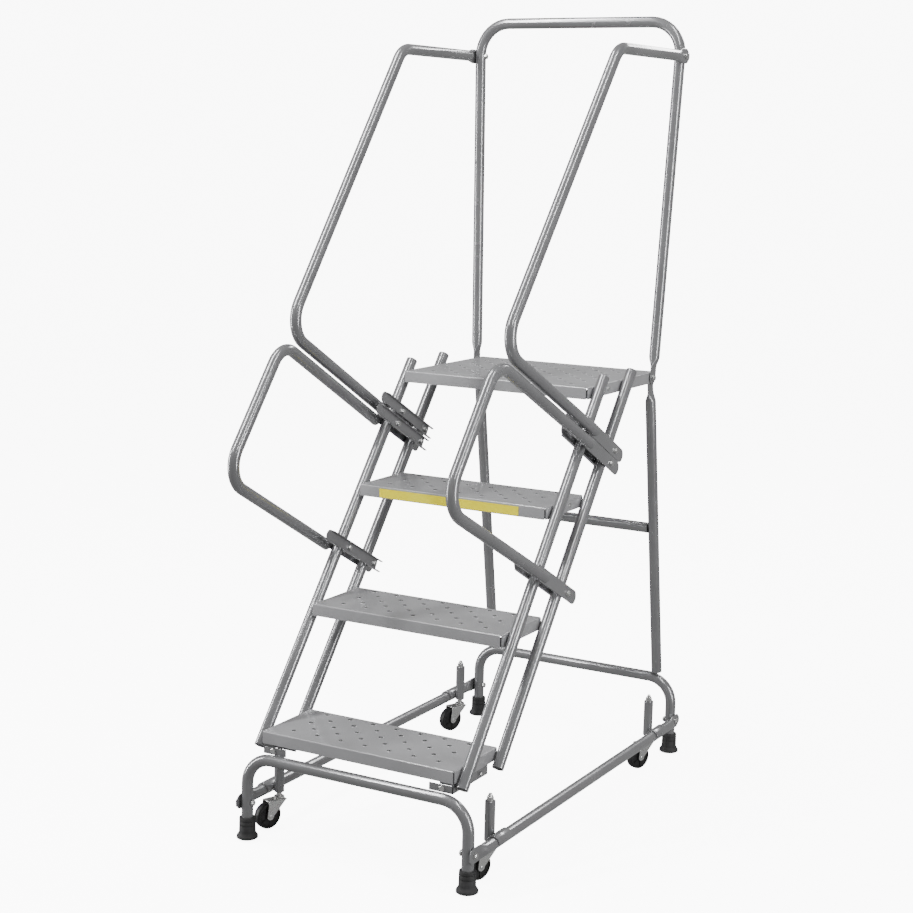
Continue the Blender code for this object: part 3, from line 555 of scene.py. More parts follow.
# %% [markdown]
# ## Pressed ends
# Where a tube is bolted on, its end is pressed flat and its corners are rounded off.
# The press leaves a flat tongue, then a swell back to the round. Rings are pushed out
# at the places where the section changes, and each ring is then scaled thin one way
# and wide the other.

# %% Press an end flat
FLAT_LENGTH, FLAT_TAPER, FLAT_WIDE = 0.036, 0.034, 0.018
MARKS = [0.0, 0.0009, 0.0027, 0.0054, 0.0081, 0.013, FLAT_WIDE, FLAT_LENGTH]
MARKS += [FLAT_LENGTH + FLAT_TAPER * k / 6 for k in range(1, 7)]


def press(tip, inward, sideways=0.0):
    """Scales the rings near a tip; sideways moves the tongue along X."""
    inward = inward.normalized()
    for mark in MARKS:
        middle = tip + inward * mark
        pick("VERT", lambda point: abs((point - middle).dot(inward)) < 0.0003
             and (point - middle).length < 1.5 * TUBE_R)
        share = min(max((mark - FLAT_LENGTH) / FLAT_TAPER, 0), 1)
        share = share * share * (3 - 2 * share)
        nose = min(max(mark / FLAT_WIDE, 0.12), 1)
        wide = FLAT_WIDE / TUBE_R * math.sqrt(1 - (1 - nose) ** 2)
        thin = FLAT_THICK / 2 / TUBE_R
        bpy.ops.transform.resize(
            value=(thin + share * (1 - thin),) + (wide + share * (1 - wide),) * 2,
            center_override=middle,
        )
        bpy.ops.transform.translate(value=((1 - share) * sideways, 0, 0))


def marked(corners, at_end=False):
    """Pushes the first straight out ring by ring, so that its end can be pressed."""
    inward = (corners[1] - corners[0]).normalized()
    for near, far in zip(MARKS, MARKS[1:]):
        push(inward * (far - near))
    return [corners[0] + inward * MARKS[-1]] + corners[1:]


def pressed_tube(name, corners, bend=0.065, sideways=0.0, both=True):
    """A bent tube pressed flat at its start, and at its end too if both is true."""
    begin_tube(corners)
    rest = marked(corners)
    if both:
        outward = (corners[-1] - corners[-2]).normalized()
        rest[-1] = corners[-1] - outward * MARKS[-1]
        run_tube(rest, bend)
        for near, far in zip(MARKS[::-1], MARKS[-2::-1]):
            push(outward * (near - far))
        press(corners[-1], -outward, sideways)
    else:
        run_tube(rest, bend)
    press(corners[0], corners[1] - corners[0], sideways)
    bpy.ops.mesh.select_all(action="SELECT")
    bpy.ops.mesh.fill_holes(sides=0)
    return settle(name, 40)


# %% [markdown]
# ## Side rails
# A low rail joins the front and rear legs on each side. Its pressed ends are bolted
# against the outside of the legs, so the tongue sits a hair inboard of the tube's
# middle. The left rail is the right one mirrored.

# %% Make the side rails
RAIL_X, RAIL_TIP = 0.3055, 0.022
TONGUE_X = LEG_X + TUBE_R + GAP + FLAT_THICK / 2
MIRROR = Matrix.Scale(-1, 4, (1, 0, 0))
rail = pressed_tube(
    "rail_right",
    [at(RAIL_X, -RAIL_TIP, RAIL_Z), at(RAIL_X, BASE_LENGTH + RAIL_TIP, RAIL_Z)],
    sideways=TONGUE_X - RAIL_X,
)
keep(rail, enamel, nodes=["side_rail_right"])
keep(copy_of(rail, "rail_left", MIRROR), enamel, nodes=["side_rail_left"])
print("rail length", round(rail.dimensions.y, 3))

# %% [markdown]
# ## Stiles
# Four plain tubes lean back at the pitch of the stair and carry the treads between
# them. They are cut square and left open, so each gets a real wall with Solidify:
# a capped tube would show a lid where the eye expects a dark bore.

# %% Make the stiles
STILE_LOW, STILE_HIGH = FIRST - 0.041, PLATFORM_Z + 0.020
TUBE_WALL = 0.0018


def stile_point(side, row, z):
    return at(side * STILE_X, (z - FIRST) * RUN / RISE + SETBACKS[row], z)


for row in SETBACKS:
    begin_tube([stile_point(1, row, STILE_LOW), stile_point(1, row, STILE_HIGH)], sides=32)
    push(stile_point(1, row, STILE_HIGH) - stile_point(1, row, STILE_LOW))
    stile = settle(f"stile_tube_{row}_right")
    modify(stile, "SOLIDIFY", thickness=TUBE_WALL, offset=-1, use_even_offset=True)
    modify(stile, "BEVEL", width=0.0004, segments=2, limit_method="ANGLE", angle_limit=1.0)
    keep(stile, enamel, nodes=[f"stile_{row}_right"])
    keep(copy_of(stile, f"stile_tube_{row}_left", MIRROR), enamel, nodes=[f"stile_{row}_left"])
print("stile faces", len(stile.data.polygons))

# %% [markdown]
# ## Folded treads
# A tread is one sheet with its four edges turned down. The corners are notched before
# folding, so a slit stays open between the front lip and the side flange. Here the
# flat top is a plane, each edge is pushed out past the notch and then down, and the
# four folds are bevelled round before the sheet gets its thickness. A small tab in the
# nearly black coat stands across the inside of each corner: painted shade, so the slit
# reads dark and no light shows through it.

# %% Fold a sheet into a pan
SKIRT, SHEET, FOLD, NOTCH = 0.028, 0.0018, 0.003, 0.0034
TAB_WIDE, TAB_IN = 0.0064, 0.0050


def folded_pan(name, depth):
    """A pan centred on the origin, its top at Z = 0."""
    half = (PAN_X, depth / 2)
    start(bpy.ops.mesh.primitive_plane_add, size=1)
    bpy.ops.transform.resize(value=(2 * (half[0] - NOTCH), 2 * (half[1] - NOTCH), 1))
    for axis in (0, 1):
        for sign in (-1, 1):
            inner = half[axis] - NOTCH
            pick("VERT", lambda point: abs(sign * point[axis] - inner) < 0.0001
                 and abs(point[1 - axis]) < half[1 - axis] - NOTCH + 0.0001)
            step = [0, 0, 0]
            step[axis] = sign * NOTCH
            push(step)
            push((0, 0, -SKIRT))
    pick("VERT", lambda point: point.z > -0.001 and (
        abs(point.x) > half[0] - 0.001 or abs(point.y) > half[1] - 0.001))
    bpy.ops.mesh.bevel(offset=FOLD, segments=5, affect="EDGES")
    made = settle(name, 40)
    modify(made, "SOLIDIFY", thickness=SHEET, offset=-1, use_even_offset=True)
    made.data.materials.append(tread_enamel)
    tabs = []
    for x, y in ((1, 1), (1, -1), (-1, 1), (-1, -1)):
        start(
            bpy.ops.mesh.primitive_plane_add, size=1,
            rotation=(math.pi / 2, 0, -x * y * math.pi / 4),
        )
        bpy.ops.transform.resize(value=(TAB_WIDE, TAB_WIDE, SKIRT - 0.006))
        bpy.ops.transform.translate(value=(
            x * (half[0] - TAB_IN), y * (half[1] - TAB_IN), -SKIRT / 2 - 0.002))
        tabs.append(settle("tab"))
        modify(tabs[-1], "SOLIDIFY", thickness=0.0006, offset=0)
        # painted shade: the tab is nearly black so that the corner slit looks shadowed
        tabs[-1].data.materials.append(shadow_enamel)
    return merge(name, [made] + tabs)


# %% [markdown]
# ## Punched grip holes
# The treads are punched with a diamond pattern of small holes whose edges are drawn
# up, for grip in the wet. The pattern is cut with one Boolean, whose cutter is a
# pin copied to every place, and each hole then gets a drawn rim: a short profile spun
# once round and copied. The rim's throat is painted nearly black, as painted shade
# for the hole's shadowed inside. Rims stay at a few dozen faces, because there are many.

# %% Punch the sheet and draw the rims
HOLE_R, RIM_R, RIM_HIGH = 0.0056, 0.0082, 0.0010
ROW_PITCH, HOLE_PITCH, BACK_MARGIN = 0.034, 0.063, 0.0205


def hole_places(depth, rows):
    """Centres of the holes, from the back edge: rows of seven and of six."""
    found = []
    for row in range(rows):
        count = 7 - row % 2
        for k in range(count):
            x = (k - (count - 1) / 2) * HOLE_PITCH
            found.append(Vector((x, depth / 2 - BACK_MARGIN - row * ROW_PITCH, 0)))
    return found


def spun_ring(profile, sides):
    """An open profile of (radius, height) pairs, spun once round Z."""
    start(bpy.ops.mesh.primitive_circle_add, vertices=sides, radius=profile[0][0])
    bpy.ops.transform.translate(value=(0, 0, profile[0][1]))
    for (radius, height), (wider, higher) in zip(profile, profile[1:]):
        push((0, 0, higher - height))
        share = wider / radius
        bpy.ops.transform.resize(value=(share, share, 1), center_override=(0, 0, higher))
    bpy.ops.mesh.select_all(action="SELECT")
    bpy.ops.mesh.remove_doubles(threshold=0.000001)


def punched(made, places):
    """Cuts the holes and joins a drawn rim to each."""
    start(bpy.ops.mesh.primitive_cylinder_add, vertices=14, radius=HOLE_R, depth=0.02)
    bpy.ops.object.mode_set(mode="OBJECT")
    pin = bpy.context.object
    pins = [copy_of(pin, "pin", Matrix.Translation(place)) for place in places]
    cutter = merge("cutter", pins)
    modify(made, "BOOLEAN", operation="DIFFERENCE", solver="EXACT", object=cutter)
    bpy.ops.object.shade_smooth_by_angle(angle=math.radians(10))
    spun_ring([
        (RIM_R, -0.0004), (RIM_R * 0.86, 0.0005), (RIM_R * 0.75, RIM_HIGH),
        (HOLE_R * 0.98, RIM_HIGH * 0.8), (HOLE_R * 0.8, -0.0055),
    ], 14)
    bpy.ops.mesh.normals_make_consistent(inside=False)
    bpy.ops.object.mode_set(mode="OBJECT")
    bpy.ops.object.shade_smooth()
    rim = bpy.context.object
    rim.data.materials.append(tread_enamel)
    # painted shade: faces inside the hole's radius take the nearly black coat, standing in for the shadow
    # in the hole
    rim.data.materials.append(shadow_enamel)
    for face in rim.data.polygons:
        face.material_index = int(face.center.xy.length < HOLE_R)
    rims = [copy_of(rim, "rim", Matrix.Translation(place)) for place in places]
    for spare in (pin, cutter, rim):
        bpy.data.objects.remove(spare)
    return merge(made.name, [made] + rims)


step = punched(folded_pan("tread_pan", 0.197), hole_places(0.197, 5))
for k in range(3):
    middle = Matrix.Translation(at(0, k * RUN + 0.197 / 2, FIRST + k * RISE))
    keep(copy_of(step, f"tread_{k + 1}", middle), tread_enamel,
         nodes=[f"step_{k + 1}"])
bpy.data.objects.remove(step)
deck = punched(folded_pan("platform_deck", 0.400), hole_places(0.400, 11))
placed(deck, Matrix.Translation(at(0, PLATFORM_REAR - 0.200, PLATFORM_Z)))
keep(deck, tread_enamel, nodes=["top_platform"])
print("deck faces", len(deck.data.polygons))

# %% [markdown]
# ## Yellow edge strip
# The strip is film as long as the lip is flat, stuck to the face of the third tread.
# It is a thin plate with its edges just rounded, standing a hair proud of the steel.

# %% Stick the strip on
start(bpy.ops.mesh.primitive_plane_add, size=1)
bpy.ops.transform.resize(value=(0.374, 0.0215, 1))
bpy.ops.mesh.subdivide(number_cuts=3)
pick("VERT", lambda point: abs(abs(point.x) - 0.187) < 0.0001 and abs(abs(point.y) - 0.01075) < 0.0001)
bpy.ops.mesh.bevel(offset=0.001, segments=3, affect="VERTICES")
bpy.ops.object.mode_set(mode="OBJECT")
strip = bpy.context.object
modify(strip, "SOLIDIFY", thickness=0.0003, offset=1)
placed(strip, Matrix.Rotation(math.pi / 2, 4, "X"))
placed(strip, Matrix.Translation(at(-0.006, 2 * RUN - 0.0002, FIRST + 2 * RISE - 0.0155)))
strip.name = "edge_strip"
keep(strip, yellow)
print("strip", [round(size, 4) for size in strip.dimensions])

# %% [markdown]
# ## Hex bolts
# Every joint is a zinc bolt with a washer under its head and a nut behind. The head is
# a six-sided cylinder whose rim is chamfered by a bevel of the top ring, and the
# threads are a stack of small swellings, since a true helix would never be seen.

# %% Turn the bolts
BOLT_R, HEAD_R, HEAD_HIGH = 0.004, 0.0072, 0.005


def hexagon(height, base):
    """A chamfered hex block standing on Z = base."""
    start(
        bpy.ops.mesh.primitive_cylinder_add, vertices=6, radius=HEAD_R, depth=height,
        location=(0, 0, base + height / 2),
    )
    top = base + height
    pick("FACE", lambda face: face.calc_center_median().z > top - 0.0001)
    bpy.ops.mesh.inset(thickness=0.0009)
    bpy.ops.transform.translate(value=(0, 0, 0.0006))
    return settle("hex", 20)


def bolt(name, centre, grip, side, rod=BOLT_R):
    """A bolt along X, its head on the outboard side; the grip is what it clamps."""
    head = hexagon(HEAD_HIGH - 0.0016, grip / 2 + 0.001)
    spun_ring([
        (0.00001, grip / 2 + 0.001), (HEAD_R * 1.12, grip / 2 + 0.001),
        (HEAD_R * 1.12, grip / 2), (rod, grip / 2), (rod, -grip / 2), (HEAD_R * 0.98, -grip / 2),
        (HEAD_R * 0.98, -grip / 2 - 0.0008), (rod, -grip / 2 - 0.0008),
    ], 20)
    shank = settle("shank")
    nut = placed(hexagon(HEAD_HIGH - 0.0014, 0), Matrix.Rotation(math.pi, 4, "X"))
    placed(nut, Matrix.Translation((0, 0, -grip / 2 - 0.0008)))
    tip = -grip / 2 - HEAD_HIGH - 0.0015
    spun_ring(
        [(rod * 0.93 if k % 2 else rod, tip + 0.0045 - 0.0005 * k) for k in range(9)]
        + [(rod * 0.7, tip), (0.00001, tip)], 16)
    thread = settle("thread")
    made = merge(name, [head, shank, nut, thread])
    placed(made, Matrix.Rotation(side * math.pi / 2, 4, "Y"))
    return placed(made, Matrix.Translation(centre))


for row, y in ROWS.items():
    grip = 2 * TUBE_R + FLAT_THICK + 3 * GAP
    right_bolt = bolt(f"leg_bolt_{row}_right", at(LEG_X + FLAT_THICK / 2, y, RAIL_Z), grip, 1)
    keep(copy_of(right_bolt, f"leg_bolt_{row}_left", MIRROR), zinc,
         nodes=[f"rail_bolt_{row}_left"])
    keep(right_bolt, zinc, nodes=[f"rail_bolt_{row}_right"])
print("bolt faces", len(right_bolt.data.polygons))

# %% [markdown]
# ## Feet
# Each leg ends in a rubber cup with a wide sole. The cup is spun from a profile with
# two shallow grooves near the top, a flared skirt and a closed sole, and the leg
# simply drops into it.

# %% Mould the feet
FOOT_LIFT = 0.005
cup = [
    (0.00001, 0.0), (0.0228, 0.0), (0.0248, 0.0014), (0.0248, 0.0062), (0.0238, 0.0082),
    (0.0205, 0.0125), (0.0194, 0.0165), (0.0191, 0.0300), (0.0184, 0.0306), (0.0184, 0.0318),
    (0.0191, 0.0324), (0.0190, 0.0400), (0.0183, 0.0406), (0.0183, 0.0418), (0.0190, 0.0424),
    (0.0188, 0.0490), (0.0180, 0.0500), (0.0138, 0.0500), (0.0138, 0.010), (0.00001, 0.010),
]
spun_ring(cup, 40)
bpy.ops.mesh.normals_make_consistent(inside=False)
mould = settle("foot_mould", 50)
for row, y in ROWS.items():
    for name, side in SIDES.items():
        spot = Matrix.Translation(at(side * LEG_X, y, FOOT_LIFT))
        keep(copy_of(mould, f"rubber_foot_{row}_{name}", spot), rubber,
             nodes=[f"foot_{row}_{name}"])
bpy.data.objects.remove(mould)
print("feet:", 4)

# %% [markdown]
# ## Base brackets
# Under the first tread, two brackets sit on the front bar and rise inside the tread.
# Each has a low face with a bolt in it, a back plate in the tread's shadow, and a side
# plate along the tread's flange. Three planes are stretched to size and thickened, and
# their edges are eased, since sheared plate has no sharp corner left after painting.

# %% Fold the brackets
BRACKET_LOW, BRACKET_HIGH = BAR_Z + TUBE_R + GAP, FIRST - SHEET - GAP
outer, face_y = PAN_X - FOLD - GAP, FOLD + GAP + 0.0015
plates = []
for turn, wide, tall, x, y in (
    ((math.pi / 2, 0, 0), 0.060, 0.017, outer - 0.030, face_y),
    ((math.pi / 2, 0, 0), 0.056, BRACKET_HIGH - BRACKET_LOW, outer - 0.030, 0.048),
    ((math.pi / 2, 0, math.pi / 2), 0.155, BRACKET_HIGH - BRACKET_LOW, outer - 0.0015, 0.0808),
):
    start(bpy.ops.mesh.primitive_plane_add, size=1, rotation=turn)
    across = (wide, 1, tall) if turn[2] == 0 else (1, wide, tall)
    bpy.ops.transform.resize(value=across)
    bpy.ops.transform.translate(value=at(x, y, BRACKET_LOW + tall / 2))
    plates.append(settle("bracket_plate"))
    modify(plates[-1], "SOLIDIFY", thickness=0.003, offset=0)
    modify(plates[-1], "BEVEL", width=0.0007, segments=2, limit_method="ANGLE", angle_limit=1.0)
bracket = merge("bracket_right", plates)
low, high = (edge(v.co.y - FRONT_Y for v in bracket.data.vertices) for edge in (min, max))
keep(copy_of(bracket, "bracket_left", MIRROR), enamel, nodes=["base_bracket_left"])
keep(bracket, enamel, nodes=["base_bracket_right"])
print("bracket from", round(low, 4), "to", round(high, 4))

# %% [markdown]
# ## Rear legs and brace
# Two legs run from the platform's rear corners down to the rear bar. Their tops are
# pressed flat, to lie inside the platform's flange, and a plain tube braces them
# half-way down.

# %% Make the rear legs and their brace
GUARD_Y, CORNER_Z = PLATFORM_REAR - 0.023, PLATFORM_Z - SKIRT / 2
REAR_LEG_X = PAN_X - SHEET - GAP - FLAT_THICK / 2


def rear_leg_point(side, z):
    share = (CORNER_Z - z) / (CORNER_Z - BAR_Z)
    return at(side * REAR_LEG_X, GUARD_Y + share * (BASE_LENGTH - GUARD_Y), z)


leg = pressed_tube("rear_leg_tube_right", [
    rear_leg_point(1, PLATFORM_Z - 0.008), rear_leg_point(1, BAR_Z + TUBE_R + 0.0035),
], both=False)
keep(copy_of(leg, "rear_leg_tube_left", MIRROR), enamel, nodes=["rear_leg_left"])
keep(leg, enamel, nodes=["rear_leg_right"])
brace_reach = REAR_LEG_X - TUBE_R - 0.0006
brace_z = PLATFORM_Z - 0.413
brace_ends = []
for side in (-1, 1):
    end = rear_leg_point(side, brace_z)
    brace_ends.append(Vector((side * brace_reach, end.y, end.z)))
brace = closed_tube("brace_tube", brace_ends)
keep(brace, enamel, nodes=["rear_cross_brace"])
print("brace", round(brace.dimensions.x, 3), "m")

# %% [markdown]
# ## Guardrail
# One long tube rises from the platform's rear corners, bends inwards at the top and
# leans back a little. Its lower ends are pressed flat and bolted outside the flange.

# %% Bend the guardrail
GUARD_X, GUARD_TOP_X = PAN_X + GAP + FLAT_THICK / 2, STILE_X + 0.017
GUARD_LOW, GUARD_HIGH, GUARD_LEAN = CORNER_Z - 0.016, PLATFORM_Z + 0.862, 0.031


def guard_point(z):
    """X, Y and Z of the guardrail's right upright at a height."""
    share = (z - GUARD_LOW) / (GUARD_HIGH - GUARD_LOW)
    x = GUARD_X + share * (GUARD_TOP_X - GUARD_X)
    return Vector((x, GUARD_Y + share * GUARD_LEAN, z))


ends = [at(side * GUARD_X, GUARD_Y, GUARD_LOW) for side in (-1, 1)]
tops = [at(side * GUARD_TOP_X, GUARD_Y + GUARD_LEAN, GUARD_HIGH) for side in (-1, 1)]
guard = pressed_tube("guardrail_tube", [ends[0], tops[0], tops[1], ends[1]], bend=0.078)
keep(guard, enamel, nodes=["guardrail"])
inside = REAR_LEG_X - FLAT_THICK / 2 - GAP
outside = guard_point(CORNER_Z).x + FLAT_THICK / 2 + 2 * GAP
pin = bolt("corner_pin_right", at((inside + outside) / 2, GUARD_Y, CORNER_Z), outside - inside, 1)
keep(copy_of(pin, "corner_pin_left", MIRROR), zinc, nodes=["corner_bolt_left"])
keep(pin, zinc, nodes=["corner_bolt_right"])
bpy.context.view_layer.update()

# %% [markdown]
# ## Handrails
# Each side has an upper rail, from the guardrail down to the stiles, and a lower loop.
# Their straight parts lie on two slanted lines, one a little steeper than the stiles
# and one that falls towards the back at the clamps. Working out where those lines
# cross gives every corner, so the rails meet the stiles where they should.

# %% Find the handrails' corners
RAIL_HIGH, TOP_Y, LEAN = GUARD_HIGH - 0.0825, 3 * RUN + 0.027, RUN / RISE - 0.0085
TOP_X, BEND_X = STILE_X + 0.023, STILE_X + 0.009
PLATE_X, PLATE_THICK = STILE_X + TUBE_R + GAP, 0.003
END_X = PLATE_X + PLATE_THICK - 0.0021 + TUBE_R
ALONG = math.hypot(1, SLOPE)


def level_of(below):
    """Height at Y = 0 of a leg line that meets the front stile below the platform."""
    z = PLATFORM_Z - below
    return z + SLOPE * ((z - FIRST) * RUN / RISE + SETBACKS["front"])


def crossing(level, setback):
    return (setback + RUN / RISE * (level - FIRST)) / (1 + RUN / RISE * SLOPE)


def front_corner(level):
    y = (level - RAIL_HIGH + TOP_Y / LEAN) / (1 / LEAN + SLOPE)
    return at(BEND_X, y, level - SLOPE * y)


def leg_end(level):
    y = crossing(level, SETBACKS["front"]) - 0.008
    return at(END_X, y, level - SLOPE * y)


upper = level_of(0.097)
levels = {"upper": upper, "middle": upper - 0.0345 * ALONG, "lower": level_of(0.399)}
print({name: round(level, 4) for name, level in levels.items()})

# %% [markdown]
# ## Bending the handrails
# The upper rail starts in a pressed tongue bolted to the guardrail's upright, and both
# rails end against their clamp plates.

# %% Bend the upper and lower handrails
upright = guard_point(RAIL_HIGH)
tongue_x = upright.x + TUBE_R + GAP + FLAT_THICK / 2
upper_rail = pressed_tube("upper_rail", [
    at(TOP_X, upright.y + 0.020, RAIL_HIGH), at(TOP_X, TOP_Y, RAIL_HIGH),
    front_corner(levels["upper"]), leg_end(levels["upper"]),
], bend=0.062, sideways=tongue_x - TOP_X, both=False)
lower_rail = closed_tube("lower_rail", [
    leg_end(levels["middle"]), front_corner(levels["middle"]),
    front_corner(levels["lower"]), leg_end(levels["lower"]),
], bend=0.062)
inside, outside = upright.x - TUBE_R - 2 * GAP, tongue_x + FLAT_THICK / 2 + GAP
pin = bolt("rail_pin_right", at((inside + outside) / 2, upright.y, RAIL_HIGH), outside - inside, 1)
keep(copy_of(pin, "rail_pin_left", MIRROR), zinc, nodes=["handrail_bolt_left"])
keep(pin, zinc, nodes=["handrail_bolt_right"])
print("upper rail", [round(size, 3) for size in upper_rail.dimensions])

# %% [markdown]
# ## Clamps
# Where a handrail meets the two stiles, a flat plate welded to its leg and a narrow
# channel inside are drawn together by two bolts. Plate and channel start as a
# circle: half of it is pulled away to make a long plate with round ends, and a
# bisect squares off the end that isn't rounded.

# %% Shape a plate with one round end
def round_plate(name, front, back, half, round_front):
    """A plate along X from front to back, at Z = 0."""
    start(bpy.ops.mesh.primitive_circle_add, vertices=40, radius=half, fill_type="NGON")
    bpy.ops.transform.translate(value=(back - half, 0, 0))
    pick("VERT", lambda point: point.x < back - half + 0.0001)
    bpy.ops.transform.translate(value=(front - back + 2 * half, 0, 0))
    bpy.ops.mesh.select_all(action="SELECT")
    keep_back = not round_front
    cut = front + half if keep_back else back - half
    bpy.ops.mesh.bisect(
        plane_co=(cut, 0, 0), plane_no=(1, 0, 0),
        clear_inner=keep_back, clear_outer=not keep_back,
    )
    bpy.ops.object.mode_set(mode="OBJECT")
    made = bpy.context.object
    made.name = name
    modify(made, "SOLIDIFY", thickness=PLATE_THICK, offset=0)
    modify(made, "BEVEL", width=0.0006, segments=2, limit_method="ANGLE", angle_limit=0.9)
    return made


PITCH = (crossing(0, SETBACKS["rear"]) - crossing(0, SETBACKS["front"])) * ALONG


def clamp_frame(x, leg_level):
    """Stands a shape on the clamp's line, where it meets the front stile."""
    level = leg_level + 0.008 * ALONG
    y = crossing(level, SETBACKS["front"])
    made = Matrix.Identity(4)
    made.col[0].xyz = Vector((0, 1, -SLOPE)).normalized()
    made.col[1].xyz = Vector((0, SLOPE, 1)).normalized()
    made.col[2].xyz = (1, 0, 0)
    made.translation = at(x, y, level - SLOPE * y)
    return made


# %% Add the outer plates to the handrails
def with_plates(rail, rows, name):
    pieces = [rail]
    for row in rows:
        plate = round_plate("plate", -0.030 - 0.0168, PITCH + 0.070, 0.0168, False)
        pieces.append(placed(plate, clamp_frame(PLATE_X + PLATE_THICK / 2, levels[row])))
    return merge(name, pieces)


upper_rail = with_plates(upper_rail, ["upper"], "upper_handrail_right")
lower_rail = with_plates(lower_rail, ["middle", "lower"], "lower_handrail_right")
for made, part in ((upper_rail, "upper"), (lower_rail, "lower")):
    keep(copy_of(made, f"{part}_handrail_left", MIRROR), enamel, nodes=[f"handrail_{part}_left"])
    keep(made, enamel, nodes=[f"handrail_{part}_right"])
print("clamp pitch", round(PITCH, 4))

# %% [markdown]
# ## Inner channels
# The channel inside the stiles has its long edges turned in. The turned edges run on
# past the web like two prongs, which is how it looks from the side.

# %% Fold the inner channels and bolt them
BAR_HALF, BAR_X = 0.0142, STILE_X - TUBE_R - GAP - PLATE_THICK / 2


def channel(name):
    web = round_plate("web", -0.088, PITCH + 0.034 + BAR_HALF, BAR_HALF, True)
    lips = []
    for edge in (-1, 1):
        start(bpy.ops.mesh.primitive_plane_add, size=1)
        length = PITCH + 0.050 + 0.088 - BAR_HALF
        bpy.ops.transform.resize(value=(length, 0.0024, 1))
        bpy.ops.transform.translate(value=(
            length / 2 - 0.088 + BAR_HALF, edge * (BAR_HALF - 0.0013), 0))
        push((0, 0, -0.007))
        pick("VERT", lambda point: point.z < -0.005 and point.x < 0)
        bpy.ops.transform.translate(value=(0.006, 0, 0))
        lips.append(settle("lip"))
        modify(lips[-1], "BEVEL", width=0.0005, segments=2, limit_method="ANGLE", angle_limit=0.9)
    return merge(name, [web] + lips)


bar = channel("channel")
reach = TUBE_R + BOLT_R + 0.003
grip = PLATE_X + PLATE_THICK + GAP - (BAR_X - PLATE_THICK / 2)
for row, level in levels.items():
    made = copy_of(bar, f"channel_{row}_right", clamp_frame(BAR_X, level))
    keep(copy_of(made, f"channel_{row}_left", MIRROR), enamel, nodes=[f"clamp_bar_{row}_left"])
    keep(made, enamel, nodes=[f"clamp_bar_{row}_right"])
    for k, along in enumerate((reach, reach + PITCH)):
        frame_at = clamp_frame(0, level)
        centre = frame_at @ Vector((along, 0, 0))
        centre.x = PLATE_X + PLATE_THICK + GAP - grip / 2
        pin = bolt(f"clamp_pin_{row}_{k}_right", centre, grip, 1)
        keep(copy_of(pin, f"clamp_pin_{row}_{k}_left", MIRROR), zinc)
        keep(pin, zinc)
bpy.data.objects.remove(bar)
print("clamps:", 6, "bolts:", 12)

# %% [markdown]
# ## Spring posts
# A short upright tube hangs inside each side rail from a strap bent over the rail. The
# caster's stem slides in it against a spring. The post is spun from a profile with
# rounded ends, and the strap is a half ring pushed along the rail and thickened.

# %% Make the posts and their straps
POST_R = 0.0118
POST_X = RAIL_X - TUBE_R - 0.0006 - POST_R
POST_YS = {"front": 0.113, "rear": PLATFORM_REAR - 0.023}
spun_ring([
    (0.0067, POST_LOW + 0.002), (0.0067, POST_LOW), (POST_R - 0.001, POST_LOW),
    (POST_R, POST_LOW + 0.001), (POST_R, POST_HIGH - 0.001), (POST_R - 0.001, POST_HIGH),
    (0.0045, POST_HIGH), (0.0045, POST_HIGH - 0.002), (0.0098, POST_HIGH - 0.002),
    (0.0098, POST_LOW + 0.002), (0.0067, POST_LOW + 0.002),
], 32)
sleeve = placed(settle("sleeve", 40), Matrix.Translation(at(POST_X, 0, 0)))
start(
    bpy.ops.mesh.primitive_circle_add, vertices=48, radius=TUBE_R + GAP,
    rotation=(math.pi / 2, 0, 0), location=at(RAIL_X, -0.031, RAIL_Z),
)
pick("VERT", lambda point: point.z < RAIL_Z - 0.0001)
bpy.ops.mesh.delete(type="VERT")
bpy.ops.mesh.select_all(action="SELECT")
push((0, 0.062, 0))
strap = settle("strap", 40)
modify(strap, "SOLIDIFY", thickness=0.003, offset=1, use_even_offset=True)
modify(strap, "BEVEL", width=0.0007, segments=2, limit_method="ANGLE", angle_limit=0.9)
post = merge("post", [sleeve, strap])
for row, y in POST_YS.items():
    made = copy_of(post, f"post_{row}_right", Matrix.Translation((0, y, 0)))
    keep(copy_of(made, f"post_{row}_left", MIRROR), enamel, nodes=[f"spring_post_{row}_left"])
    keep(made, enamel, nodes=[f"spring_post_{row}_right"])
bpy.data.objects.remove(post)
print("posts at", {row: round(y, 3) for row, y in POST_YS.items()})

# %% [markdown]
# ## Caster stems
# The stem is a turned pin: a raceway on the fork, a polished shank, a collar inside the
# post and a threaded stud with a hex nut on top, which keeps it from dropping out.

# %% Turn the caster stems
COLLAR, STEM_TOP = POST_LOW + 0.014, POST_HIGH + 0.016


def caster_stem():
    spun_ring([
        (0.00001, CROWN_Z + GAP), (0.0119, CROWN_Z + GAP), (0.0125, CROWN_Z + 0.0012),
        (0.0125, CROWN_Z + 0.0026), (0.0108, CROWN_Z + 0.0031), (0.0125, CROWN_Z + 0.0036),
        (0.0123, RACE_Z - 0.0004), (0.0115, RACE_Z), (0.0064, RACE_Z), (0.0064, COLLAR),
        (0.0095, COLLAR), (0.0095, COLLAR + 0.004), (0.0042, COLLAR + 0.004), (0.0042, POST_HIGH + GAP),
        (0.0082, POST_HIGH + GAP), (0.0082, POST_HIGH + GAP + 0.0009), (0.0042, POST_HIGH + GAP + 0.0009),
    ], 32)
    pin = settle("stem_pin", 40)
    nut = placed(hexagon(0.0068, 0), Matrix.Translation((0, 0, POST_HIGH + GAP + 0.0009)))
    placed(nut, Matrix.Diagonal((1.16, 1.16, 1, 1)))
    tip = POST_HIGH + GAP + 0.0083
    spun_ring([
        (0.0066, tip - 0.0012), (0.0066, tip), (0.0062, tip + 0.0022), (0.0050, tip + 0.0036),
        (0.0042, tip + 0.0040), (0.0042, STEM_TOP - 0.0012), (0.0034, STEM_TOP),
        (0.00001, STEM_TOP),
    ], 24)
    return merge("stem", [pin, nut, settle("stud", 40)])


stem = caster_stem()
print("stem", round(stem.dimensions.z, 4), "m tall")

